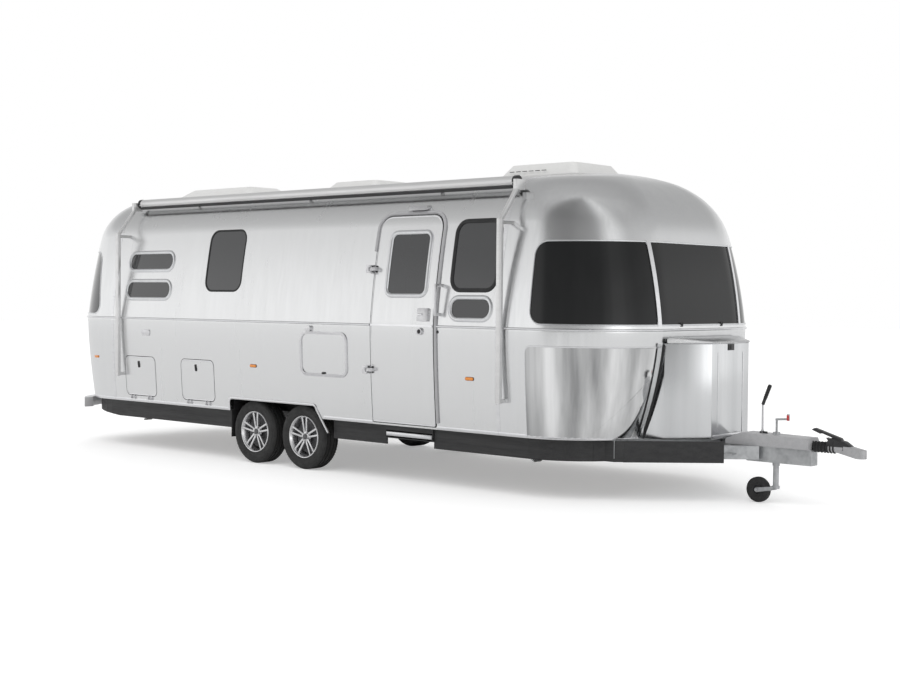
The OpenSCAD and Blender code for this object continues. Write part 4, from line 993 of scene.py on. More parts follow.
@dataclass
class Skins:
    """The body's metal skins, with their openings, seams, rivets and mouldings."""

    seam_width: float = 0.034
    rivet_r: float = 0.0035
    rivet_pitch: float = 0.042
    arch: tuple[float, float, float] = (-1.548, -0.332, 0.612)
    belt_height: float = 0.020
    belt_proud: float = 0.011
    guard_z: Point2 = (0.489, 1.216)
    guard_x: float = 2.101
    guard_y: float = 0.558

    def build(self) -> None:
        """Builds every skin and moulding."""
        for hand in (RIGHT, LEFT):
            self.wall(hand)
        self.roof()
        for end in (1, -1):
            self.cap(end)
        self.seams()
        self.belt()
        self.sill_strip()
        self.guards()
        self.arch_trims()

    def arch_cutter(self, maker: Maker, hand: int) -> None:
        """Adds the shape of the wheel opening to a cutter."""
        x0, x1, top = self.arch
        outline = [(x0, 0.40), (x1 + 0.12, 0.40), (x1 + 0.075, 0.485), (x1 + 0.02, 0.575)]
        outline += [(x1 - 0.035 + 0.055 * cos(a), top - 0.045 + 0.045 * sin(a))
                    for a in quarter(5, 1)]
        outline += [(x0 + 0.05 - 0.05 * sin(a), top - 0.05 + 0.05 * cos(a))
                    for a in quarter(5)]
        maker.prism(outline, lambda u, v: Vector((u, hand * 1.05, v)), (0, hand * 0.4, 0))

    def wall(self, hand: int) -> None:
        """Builds one side wall and cuts its openings."""
        heights = FORM.heights(FORM.sill, FORM.seam_z)
        stations = spread_out(FORM.rear_seam, FORM.front_seam, 48)
        rows = [[FORM.side(x, z, hand) for x in stations] for z in heights]
        name = "right_skin" if hand == RIGHT else "left_skin"
        piece = link_object(name, shell(rows, FORM.wall))
        cutter = Maker()
        for x0, z0, x1, z1, radius in windows_of(hand).values():
            side_patch(x0, z0, x1, z1, radius, hand).slab(cutter, *CUT)
        hatches = [REAR_HATCH] if hand == LEFT else [REAR_HATCH, FORE_HATCH]
        for x0, z0, x1, z1 in hatches:
            side_patch(x0, z0, x1, z1, 0.06, hand).slab(cutter, *CUT)
        if hand == RIGHT:
            side_patch(*DOOR, 0.13, hand, 0.02, 8, 24).slab(cutter, *CUT)
        self.arch_cutter(cutter, hand)
        combine(piece, cutter, "DIFFERENCE")
        follow_form(piece)
        dress(piece, "caravan", SKIN, ("right_wall" if hand == RIGHT else "left_wall",), None)

    def roof(self) -> None:
        """Builds the roof sheet between the walls."""
        heights = FORM.heights(FORM.seam_z, FORM.ridge)
        stations = spread_out(FORM.rear_seam, FORM.front_seam, 32)
        rows = [[FORM.side(x, z, RIGHT) for x in stations] for z in heights]
        rows += [[FORM.side(x, z, LEFT) for x in stations] for z in reversed(heights[:-1])]
        piece = link_object("roof_skin", shell(rows, 0.040))
        follow_form(piece)
        dress(piece, "caravan", ROOF_SKIN, ("roof_panel",), None)

    def cap(self, end: int) -> None:
        """Builds one end cap and cuts its window."""
        seam = FORM.front_seam if end > 0 else -FORM.rear_seam
        rows = []
        for z in FORM.heights(FORM.sill, FORM.ridge):
            far, width, r = FORM.level(z, end)
            half = [(seam + (far - r - seam) * i / 6, width) for i in range(6)]
            half += [(far - r + r * sin(a), width - r + r * cos(a))
                     for a in quarter(26)]
            half += [(far, (width - r) * (1 - i / 8)) for i in range(1, 9)]
            rows.append([Vector((end * u, -v, z)) for u, v in half]
                        + [Vector((end * u, v, z)) for u, v in reversed(half[:-1])])
        name = "front_skin" if end > 0 else "rear_skin"
        piece = link_object(name, shell(rows, 0.044))
        cutter = Maker()
        for pane in end_panes(end).values():
            pane.slab(cutter, *CAP_CUT)
        combine(piece, cutter, "DIFFERENCE")
        follow_form(piece)
        dress(piece, "caravan", CAP_SKIN, ("front_cap" if end > 0 else "rear_cap",), None)

    def seams(self) -> None:
        """Builds the lapped seams and their rivets."""
        strips, rivets = Maker(), Maker()
        heights = FORM.heights(FORM.sill + 0.002, FORM.ridge)
        half = self.seam_width / 2
        for x in (FORM.front_seam, FORM.rear_seam):
            points = [(z, RIGHT) for z in heights] + [(z, LEFT) for z in reversed(heights[:-1])]
            rows = [[FORM.side(x + dx, z, hand, -0.0012) for dx in (-half, half)]
                    for z, hand in points]
            strips.take(shell(rows, 0.0022))
            for hand in (RIGHT, LEFT):
                self.rivet_line(rivets, [(x + dx, z, hand) for dx in (-half * 0.6, half * 0.6)
                                         for z in self.spaced(FORM.sill + 0.03, 2.49)])
        for hand in (RIGHT, LEFT):
            self.rivet_line(rivets, [(x, FORM.sill + 0.016, hand)
                                     for x in self.spaced(FORM.rear_seam + 0.05, 1.78)
                                     if not self.arch[0] - 0.04 < x < self.arch[1] + 0.13
                                     and not (hand == RIGHT and 0.38 < x < 1.17)])
        follow_form(strips.piece("lap_seams", "caravan", BRIGHT))
        rivets.piece("rivets", "caravan", SATIN)

    def spaced(self, low: float, high: float) -> list[float]:
        """Gives evenly spaced places between two limits."""
        count = max(1, round((high - low) / self.rivet_pitch))
        return spread_out(low, high, count)

    def rivet_line(self, maker: Maker, places: Sequence[tuple[float, float, int]]) -> None:
        """Adds a domed rivet at each place on a wall."""
        for x, z, hand in places:
            part = bmesh.new()
            bmesh.ops.create_cone(part, cap_ends=True, segments=8, radius1=self.rivet_r,
                                  radius2=self.rivet_r * 0.45, depth=0.0026,
                                  matrix=Matrix.Translation((0, 0, 0.0018)))
            maker.take(part, FORM.mount(x, z, hand))

    def _band(self, z0: float, z1: float, proud: float, name: str, finish: Finish,
              door_gap: bool, nodes: Sequence[str] = (), skip_arch: bool = False) -> None:
        """Builds a moulding that runs round the body between two heights."""
        maker = Maker()
        mid, half = (z0 + z1) / 2, (z1 - z0) / 2
        profile = [(-half, 0.0005), (-half, -proud * 0.35), (-half * 0.62, -proud * 0.85),
                   (-half * 0.2, -proud), (half * 0.2, -proud), (half * 0.62, -proud * 0.85),
                   (half, -proud * 0.35), (half, 0.0005)]

        def run(points: Sequence[Callable[[float, float], Vector]]) -> None:
            """Adds one unbroken length."""
            loops = [[at(mid + dz, depth) for dz, depth in profile + profile[:1]]
                     for at in points]
            maker.bar(loops)

        def wall_points(x0: float, x1: float, hand: int) -> list:
            """Gives the stations of a straight length."""
            count = max(1, round(abs(x1 - x0) / 0.25))
            return [lambda z, d, x=x0 + (x1 - x0) * i / count: FORM.side(x, z, hand, d)
                    for i in range(count + 1)]

        def end_points(end: int) -> list:
            """Gives the stations round an end, from the left seam to the right."""
            seam = FORM.front_seam if end > 0 else -FORM.rear_seam
            reach = FORM.run_to(seam, mid, end)
            return [lambda z, d, q=reach * (1 - 2 * i / 72): FORM.around(q, z, end, d)
                    for i in range(73)]

        gaps = {RIGHT: [], LEFT: []}
        if door_gap:
            gaps[RIGHT].append((DOOR[0] - 0.002, DOOR[2] + 0.002))
        if skip_arch:
            for hand in (RIGHT, LEFT):
                gaps[hand].append((self.arch[0] - 0.004, self.arch[1] + 0.105))
        for end in (1, -1):
            run(end_points(end))
        for hand in (RIGHT, LEFT):
            at = FORM.rear_seam
            for x0, x1 in sorted(gaps[hand]) + [(FORM.front_seam, None)]:
                run(wall_points(at, x0, hand))
                at = x1
        maker.piece(name, "caravan", finish, nodes, 40)

    def belt(self) -> None:
        """Builds the moulding at the belt, open at the door."""
        z = FORM.belt
        self._band(z - self.belt_height / 2, z + self.belt_height / 2, self.belt_proud,
                   "belt_bead", BRIGHT, True, ("belt_moulding",))
        maker = Maker()
        half, proud = self.belt_height / 2, self.belt_proud
        rows = [[FORM.side(x, z + s * half * 0.9, RIGHT, -proud * 0.8)
                 for x in spread_out(DOOR[0] + 0.010, DOOR[2] - 0.020, 6)]
                for s in (-1, -0.4, 0.4, 1)]
        maker.take(shell(rows, proud * 0.8))
        maker.piece("door_bead", "entry_door", BRIGHT)

    def sill_strip(self) -> None:
        """Builds the bright strip along the foot of the skin."""
        self._band(FORM.sill + 0.001, FORM.sill + 0.030, 0.0035, "sill_strip", BRIGHT, True,
                   (), True)

    def guards(self) -> None:
        """Builds the mirror-polished guards round the front corners."""
        for hand, name in ((RIGHT, "right_guard"), (LEFT, "left_guard")):
            edge = lambda z: FORM.run_to(self.guard_x, z, 1)
            start, stop = ((lambda z: -edge(z)), (lambda z: -self.guard_y)) if hand == RIGHT \
                else ((lambda z: self.guard_y), edge)
            patch = Patch(lambda q, z, d: FORM.around(q, z, 1, d), *self.guard_z, start, stop,
                          0.012, 0.06, 40, 24)
            maker = patch.slab(Maker(), -0.003, 0.0008)
            # The guards carry painted reflection bands in their colour.
            piece = maker.piece(name, "caravan", GUARD, ("stone_guards",))
            follow_form(piece)
            rim = patch.ring(Maker(), [(-0.010, -0.0031), (-0.007, -0.0052),
                                       (0.0, -0.0052), (0.002, -0.003), (0.002, 0.001),
                                       (-0.010, 0.001)])
            rim.piece(name + "_rim", "caravan", BRIGHT)

    def arch_trims(self) -> None:
        """Builds the rolled trims of the wheel openings."""
        x0, x1, top = self.arch
        for hand, name in ((RIGHT, "right_arch_trim"), (LEFT, "left_arch_trim")):
            path = [(x0 + 0.004, 0.487)]
            path += [(x0 + 0.05 - 0.046 * cos(a), top - 0.05 + 0.046 * sin(a))
                     for a in quarter(6)]
            path += [(x0 + (x1 - x0) * i / 6, top - 0.004) for i in range(1, 6)]
            path += [(x1 - 0.035 + 0.051 * sin(a), top - 0.045 + 0.041 * cos(a))
                     for a in quarter(6)]
            path += [(x1 + 0.071, 0.487), (x1 + 0.165, 0.365)]
            section = [(0.012, 0.004), (0.012, -0.004), (0.006, -0.008), (-0.006, -0.008),
                       (-0.012, -0.004), (-0.012, 0.030), (-0.008, 0.030), (-0.008, 0.004)]

            def place(x: float, z: float, depth: float, hand: int = hand) -> Vector:
                """Gives a point of the wall, or straight below its foot."""
                point = FORM.side(x, max(z, FORM.sill), hand, depth)
                point.z = z
                return point

            Maker().bar(swept(path, section, place)).piece(
                name, "caravan", BRIGHT, ("wheel_arch_trims",) if hand == RIGHT else (), 40)


@dataclass
class Glazing:
    """The panes, their surrounds and their rubber seals."""

    pane_depth: float = 0.0035
    pane_thick: float = 0.005
    frame_proud: float = 0.009

    def build(self) -> None:
        """Builds the windows of both sides and both ends."""
        self.side_windows()
        for end in (1, -1):
            self.end_window(end)

    def side_windows(self) -> None:
        """Builds the side panes with their surrounds."""
        panes, wide, seals = Maker(), Maker(), Maker()
        for hand in (RIGHT, LEFT):
            for name, (x0, z0, x1, z1, radius) in windows_of(hand).items():
                patch = side_patch(x0, z0, x1, z1, radius, hand)
                patch.slab(panes, self.pane_depth, self.pane_depth + self.pane_thick, -0.001)
                if name in ("tall", "middle"):
                    patch.ring(seals, [(-0.010, self.pane_depth), (-0.008, -0.0015),
                                       (-0.002, -0.0035), (0.006, -0.0030), (0.009, 0.0005),
                                       (-0.0005, 0.012)])
                elif name == "fore":
                    patch.ring(seals, [(-0.018, self.pane_depth), (-0.016, -0.003),
                                       (-0.004, -0.0065), (0.012, -0.0055), (0.018, 0.0005),
                                       (-0.0005, 0.012)])
                else:
                    patch.ring(wide, [(-0.012, self.pane_depth), (-0.011, -0.004),
                                      (-0.004, -self.frame_proud), (0.012, -self.frame_proud),
                                      (0.022, -0.005), (0.025, 0.0005), (-0.0005, 0.012)])
        follow_form(panes.piece("side_panes", "caravan", GLASS, ("side_windows",)))
        wide.piece("pale_surrounds", "caravan", FRAME, ("side_window_frames",), 50)
        seals.piece("dark_surrounds", "caravan", RUBBER, (), 50)

    def end_window(self, end: int) -> None:
        """Builds one end's panes, its seals and its pillars."""
        panes, seals, pillars = Maker(), Maker(), Maker()
        for patch in end_panes(end).values():
            patch.slab(panes, 0.004, 0.009, -0.001)
            patch.ring(seals, [(-0.005, 0.0045), (-0.004, -0.002), (-0.001, -0.0035),
                               (0.006, -0.0035), (0.009, 0.0005), (-0.0005, 0.014)])
        tag = "front" if end > 0 else "rear"
        pane_piece = panes.piece(tag + "_panes", "caravan", END_GLASS if end > 0 else GLASS,
                                 ("end_windows",))
        follow_form(pane_piece)
        seals.piece(tag + "_seals", "caravan", FRAME, (), 50)
        for hand in (-1, 1):
            bar = Patch(lambda q, z, d: FORM.around(q, z, end, d), 1.378, 2.042,
                        lambda z: hand * 0.6 - 0.021, lambda z: hand * 0.6 + 0.021, 0.004,
                        0.004, 2, 14)
            bar.slab(pillars, -0.006, 0.004)
        pillars.piece(tag + "_pillars", "caravan", BRIGHT, (), 40)


@dataclass
class EntryDoor:
    """The entry door with its window, drip frame, hinges and locks."""

    body: str = "entry_door"
    skin: float = 0.015
    edge_gap: float = 0.006
    free_gap: float = 0.015
    sash: tuple[float, ...] = DOOR_WINDOW

    def build(self) -> None:
        """Builds the leaf, its window and its fittings."""
        self.leaf()
        self.window()
        self.drip_frame()
        self.hardware()

    def leaf(self) -> None:
        """Builds the leaf from its outer sheet and its inner panel."""
        x0, z0, x1, z1 = DOOR
        outer = side_patch(x0 + self.edge_gap, z0 + self.edge_gap, x1 - self.free_gap,
                           z1 - self.edge_gap, 0.124, RIGHT, 0.016, 8, 28)
        inner = side_patch(x0 + 0.010, z0 + 0.010, x1 - 0.032, z1 - 0.010, 0.112, RIGHT, 0.016,
                           8, 28)
        pane = side_patch(*self.sash, RIGHT)
        for name, patch, near, far, finish in (
                ("door_sheet", outer, 0.0, self.skin, SKIN),
                ("door_panel", inner, self.skin - 0.001, 0.045, LINING)):
            piece = link_object(name, patch.slab(Maker(), near, far).bm)
            combine(piece, pane.slab(Maker(), *CUT), "DIFFERENCE")
            follow_form(piece)
            dress(piece, self.body, finish, ("entry_door",) if name == "door_sheet" else (),
                  None)
        rim = Maker()
        outer.ring(rim, [(-0.014, 0.0004), (-0.012, -0.0016), (-0.004, -0.0022),
                         (-0.0006, -0.0012), (-0.0006, 0.004), (-0.006, 0.004)])
        rim.piece("door_rim", self.body, BRIGHT, (), 50)
        seal = Maker()
        side_patch(*DOOR, 0.13, RIGHT, 0.02, 8, 28).ring(
            seal, [(-0.0045, 0.030), (-0.0045, 0.012), (-0.0005, 0.010), (-0.0005, 0.030)])
        seal.piece("door_seal", "caravan", RUBBER, (), 50)

    def window(self) -> None:
        """Builds the window of the door."""
        patch = side_patch(*self.sash, RIGHT)
        pane = patch.slab(Maker(), 0.0035, 0.0085, -0.001).piece(
            "door_pane", self.body, GLASS, ("entry_door_window",))
        follow_form(pane)
        surround = patch.ring(Maker(), [(-0.013, 0.004), (-0.011, -0.005), (-0.002, -0.011),
                                        (0.014, -0.011), (0.023, -0.006), (0.026, 0.0005),
                                        (-0.0005, 0.012)])
        surround.piece("door_surround", self.body, FRAME, (), 50)

    def drip_frame(self) -> None:
        """Builds the rounded drip frame over the door and down its free edge."""
        x0, z0, x1, z1 = DOOR
        radius, grow = 0.13, 0.014
        path = [(x0 - 0.004, 1.98), (x0 - 0.004, 2.08)]
        path += [(x0 + radius - (radius + grow) * cos(a) + 0.010,
                  z1 - radius + (radius + grow) * sin(a))
                 for a in quarter(8, 1)]
        path += [(x0 + radius + (x1 - x0 - 2 * radius) * i / 5, z1 + grow) for i in range(1, 5)]
        path += [(x1 - radius + (radius + grow) * sin(a),
                  z1 - radius + (radius + grow) * cos(a))
                 for a in quarter(8)]
        path += [(x1 + grow, z0 + 0.04 + (z1 - radius - z0 - 0.04) * (1 - i / 12))
                 for i in range(1, 13)]
        section = [(-0.011, 0.0005), (-0.012, -0.009), (-0.006, -0.017), (0.006, -0.018),
                   (0.015, -0.010), (0.015, 0.0005)]
        place = lambda x, z, depth: FORM.side(x, z, RIGHT, depth)
        Maker().bar(swept(path, section, place)).piece("drip_frame", "caravan", COVER, (), 40)

    def hardware(self) -> None:
        """Builds the hinges, the handle plate and the dead bolt."""
        soft_copy("door_hardware", "hinges_and_handle", self.body, SATIN, 0.0025)
        handle, bolt = Maker(), Maker()
        plate = FORM.mount(1.020, 1.440, RIGHT)
        plate.translation += plate.col[2].to_3d() * 0.013
        for u in (-0.030, 0.030):
            handle.prism(rounded_outline(-0.022, -0.036, 0.022, 0.036, 0.008, 0.008),
                         lambda a, b, u=u: Vector((u + a, b, 0)), (0, 0, 0.006), 0.0015,
                         matrix=plate)
        handle.box((-0.052, -0.009, 0.004), (0.006, 0.009, 0.013), 0.004, plate)
        handle.piece("handle_plate", self.body, BRIGHT)
        deadbolt = FORM.mount(0.9875, 1.300, RIGHT)
        bolt.lathe([(0.0, 0.0), (0.024, 0.0), (0.026, 0.004), (0.022, 0.014), (0.016, 0.017),
                    (0.0, 0.017)], deadbolt.translation, deadbolt.col[2].to_3d(), 28)
        bolt.box((-0.002, -0.010, 0.016), (0.002, 0.010, 0.020), 0.0008, deadbolt)
        for z in (0.957, 1.826):
            seat = FORM.mount(0.430, z, RIGHT)
            bolt.box((-0.012, -0.030, -0.001), (-0.004, 0.030, 0.012), 0.002, seat)
        bolt.piece("door_bolt", self.body, PLASTIC)


@dataclass
class LockerHatches:
    """The three outside locker hatches."""

    gap: float = 0.0062
    thick: float = 0.024

    def build(self) -> None:
        """Builds the three hatches."""
        for node, bounds, hand in (("rear_locker_hatch", REAR_HATCH, RIGHT),
                                   ("front_locker_hatch", FORE_HATCH, RIGHT),
                                   ("left_locker_hatch", REAR_HATCH, LEFT)):
            self.hatch(node, bounds, hand)

    def hatch(self, node: str, bounds: tuple[float, ...], hand: int) -> None:
        """Builds one hatch with its rim, latch and hinge pins.

        Args:
            node: The CAD node that it stands for, and the body of the same name.
            bounds: Its opening.
            hand: The side that it is on.
        """
        x0, z0, x1, z1 = bounds
        patch = side_patch(x0, z0, x1, z1, 0.06, hand)
        leaf = patch.slab(Maker(), 0.0, self.thick, -self.gap).piece(
            node + "_sheet", node, SKIN, (node,))
        follow_form(leaf)
        rim = patch.ring(Maker(), [(-0.020, 0.0004), (-0.018, -0.0014), (-0.009, -0.0018),
                                   (-0.0066, -0.0008), (-0.0066, 0.003), (-0.014, 0.003)])
        rim.piece(node + "_rim", node, BRIGHT, (), 50)
        # Dark ring sunk in the gap round the hatch: a rubber seal that also serves as painted
        # shadow in the gap.
        shadow = patch.ring(Maker(), [(-0.0030, 0.020), (-0.0030, 0.010), (-0.0003, 0.008),
                                      (-0.0003, 0.020)])
        shadow.piece(node + "_seal", "caravan", RUBBER, (), 50)
        latches, hinges = Maker(), Maker()
        seat = FORM.mount(x0 + (x1 - x0) * 0.46, z1 - 0.085, hand)
        turned = seat @ Matrix.Rotation(radians(6), 4, "Z")
        latches.prism(rounded_outline(-0.013, -0.034, 0.013, 0.034, 0.009, 0.009),
                      lambda a, b: Vector((a, b, -0.001)), (0, 0, 0.007), 0.0018,
                      matrix=turned)
        latches.box((-0.006, -0.024, 0.005), (0.006, 0.010, 0.012), 0.002, turned)
        latches.rod(seat @ Vector((0, 0.020, 0.005)), seat @ Vector((0, 0.020, 0.0095)),
                    0.0055, 14, 0.0008)
        low = FORM.half_width(z0) + 0.008
        for x in (x0 + 0.10, x1 - 0.10):
            hinges.rod((x - 0.022, hand * low, z0), (x + 0.022, hand * low, z0), 0.0042, 14)
        latches.piece(node + "_latches", node, PLASTIC)
        hinges.piece(node + "_pins", node, SATIN)


@dataclass
class GasLocker:
    """The gas locker on the drawbar and its lid."""

    front: float = 3.218
    half: float = 0.586
    foot: float = 0.493
    head: float = 1.236

    def build(self) -> None:
        """Builds the box, its lid, its latch and the strips beside it."""
        soft_copy("gas_locker", "locker_box", "caravan", LOCKER, 0.006, 3)
        soft_copy("gas_locker_lid", "locker_lid_shell", "gas_locker_lid", LID, 0.012, 3)
        latch, ribs, hooks = Maker(), Maker(), Maker()
        latch.box((self.front - 0.002, -0.045, 1.185), (self.front + 0.005, 0.045, 1.236), 0.002)
        latch.box((self.front + 0.004, -0.018, 1.195), (self.front + 0.0075, 0.018, 1.226), 0.002)
        latch.piece("locker_latch", "caravan", PLASTIC)
        for y in (-0.19, 0.19):
            ribs.box((self.front - 0.001, y - 0.006, 0.52), (self.front + 0.003, y + 0.006, 1.17),
                     0.0015)
        ribs.box((self.front - 0.001, -0.26, 0.502), (self.front + 0.004, 0.26, 0.522), 0.0015)
        ribs.piece("locker_ribs", "caravan", BRIGHT)
        for y in (-0.30, 0.30):
            seat = FORM.mount_end(-y, 1.372, 1)
            for turn in (-28, 28):
                hooks.box((-0.005, -0.002, 0.002), (0.005, 0.034, 0.010), 0.002,
                          seat @ Matrix.Rotation(radians(turn), 4, "Z"))
        hooks.piece("screen_hooks", "caravan", PLASTIC)
        self.seal()

    def seal(self) -> None:
        """Builds the strips and sheets that close the gap between the box and the body."""
        strips, backs = Maker(), Maker()
        for hand in (RIGHT, LEFT):
            def place(q: float, z: float, depth: float, hand: int = hand) -> Vector:
                """Gives a point between the body, at 0, and the box, at 1."""
                body = FORM.around(hand * self.half, z, 1, 0.004)
                box = Vector((FORM.around(0.0, z, 1, 0.0).x + 0.034, hand * self.half, z))
                return body.lerp(box, q) + Vector((0, hand * depth, 0))
            Patch(place, self.foot, self.head, lambda z: 0.5, lambda z: 1.0, 0.0, 0.0, 3,
                  24).slab(strips, 0.006, -0.006)
            Patch(place, self.foot, self.head, lambda z: 0.0, lambda z: 0.51, 0.0, 0.0, 3,
                  24).slab(backs, 0.0055, -0.0055)
        strips.piece("locker_seal", "caravan", RUBBER)
        backs.piece("locker_backs", "caravan", CAP_SKIN)
        sheets = Maker()
        for hand in (RIGHT, LEFT):
            def lay(q: float, z: float, depth: float, hand: int = hand) -> Vector:
                """Gives a point between the guard, at 0, and the box, at 1."""
                reach = 0.60 + 0.48 * (1.02 - z) / 0.53
                body = FORM.around(hand * reach, z, 1, -0.0035)
                box = Vector((FORM.around(0.0, z, 1, 0.0).x - 0.012, hand * 0.600, z))
                return body.lerp(box, q) + Vector((-depth, -hand * depth, 0))
            Patch(lay, 0.4905, 1.015, lambda z: 0.0, lambda z: 1.0, 0.0, 0.0, 6,
                  20).slab(sheets, 0.0, 0.002)
        # The gussets share the guard finish and its painted reflection bands.
        sheets.piece("guard_gussets", "caravan", GUARD)


@dataclass
class Drawbar:
    """The drawbar cover, the coupling, its levers and the jockey wheel."""

    wheel_x: float = 3.483
    wheel_r: float = 0.100
    knob_x: float = 3.731

    def build(self) -> None:
        """Builds the drawbar's pieces."""
        soft_copy("drawbar_cover", "drawbar_shroud", "caravan", COVER, 0.010, 3)
        soft_copy("coupling_head", "coupling", "caravan", CAST, 0.003)
        soft_copy("hand_levers", "levers", "caravan", PLASTIC, 0.003)
        soft_copy("jockey_outer_tube", "jockey_clamp_tube", "caravan", GALVANISED, 0.0015)
        lock = Maker()
        lock.prism([(4.060, 0.512), (4.085, 0.470), (4.235, 0.452), (4.268, 0.492),
                    (4.215, 0.528), (4.100, 0.552)], lambda u, v: Vector((u, -0.034, v)),
                   (0, 0.068, 0), 0.006)
        for x in (4.118, 4.168):
            lock.rod((x, -0.038, 0.520 - 0.1 * (x - 4.1)), (x, 0.038, 0.520 - 0.1 * (x - 4.1)),
                     0.008, 16, 0.001)
        lock.piece("coupling_lock", "caravan", PLASTIC)
        self.gaiter()
        self.knob()
        self.jockey_wheel()

    def gaiter(self) -> None:
        """Builds the folded rubber gaiter of the overrun shaft."""
        low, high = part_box("overrun_shaft")
        reach, height = high.x - low.x, (low.z + high.z) / 2
        top = (high.z - low.z) / 2 - 0.0005
        profile = [(0.0, 0.0), (top * 0.74, 0.0)]
        folds = 9
        for i in range(folds):
            at = reach * (0.02 + 0.94 * i / folds)
            step = reach * 0.94 / folds
            profile += [(top * 0.74, at + step * 0.1), (top, at + step * 0.42),
                        (top, at + step * 0.58), (top * 0.74, at + step * 0.9)]
        profile += [(top * 0.74, reach), (0.0, reach)]
        Maker().lathe(profile, (low.x, 0.0, height), (1, 0, 0), 36).piece(
            "shaft_gaiter", "caravan", RUBBER, ("overrun_shaft",), 50)

    def knob(self) -> None:
        """Builds the grips of the crank and of the brake lever, and its rod."""
        maker = Maker()
        maker.lathe([(0.0, 0.655), (0.010, 0.655), (0.0125, 0.662), (0.0125, 0.698),
                     (0.009, 0.7055), (0.0, 0.7055)], (self.knob_x - 0.0005, 0, 0), (0, 0, 1), 20)
        maker.piece("crank_grip", "caravan", KNOB)
        foot, lean = Vector((3.5244, 0.0, 0.806)), Vector((0.0464, 0.0, 0.116))
        grip = Maker().rod(foot, foot + lean, 0.0135, 20, 0.005, 0.016)
        for i in range(5):
            at = foot + lean * (0.15 + 0.16 * i)
            grip.rod(at, at + lean * 0.064, 0.0162, 20, 0.002)
        sleeve = Maker().rod((3.510, 0.0, 0.4505), (3.510, 0.0, 0.771), 0.0084, 20, 0.001)
        sleeve.rod((3.510, 0.0, 0.5605), (3.510, 0.0, 0.572), 0.0125, 20, 0.002)
        sleeve.piece("brake_lever_rod", "caravan", SATIN)
        grip.piece("brake_grip", "caravan", RUBBER)

    def jockey_wheel(self) -> None:
        """Builds the jockey wheel's tyre and rim."""
        r = self.wheel_r
        half = [(0.40, 0.022), (0.46, 0.0265), (0.80, 0.0295), (0.93, 0.026), (0.99, 0.016),
                (0.9995, 0.004)]
        tyre = [(r * a, -b) for a, b in half] + [(r * 0.975, 0.0)]
        tyre += [(r * a, b) for a, b in reversed(half)]
        Maker().lathe(tyre, (self.wheel_x, 0, r), (0, 1, 0), 56).piece(
            "jockey_tyre", "jockey_roller", TYRE, ("jockey_wheel",))
        disc = [(0.0078, -0.030), (0.014, -0.030), (0.016, -0.016), (0.030, -0.014),
                (0.036, -0.022), (r * 0.41, -0.023), (r * 0.41, 0.023), (0.036, 0.022),
                (0.030, 0.014), (0.016, 0.016), (0.014, 0.030), (0.0078, 0.030)]
        Maker().lathe(disc, (self.wheel_x, 0, r), (0, 1, 0), 48).piece(
            "jockey_rim", "jockey_roller", PLASTIC)


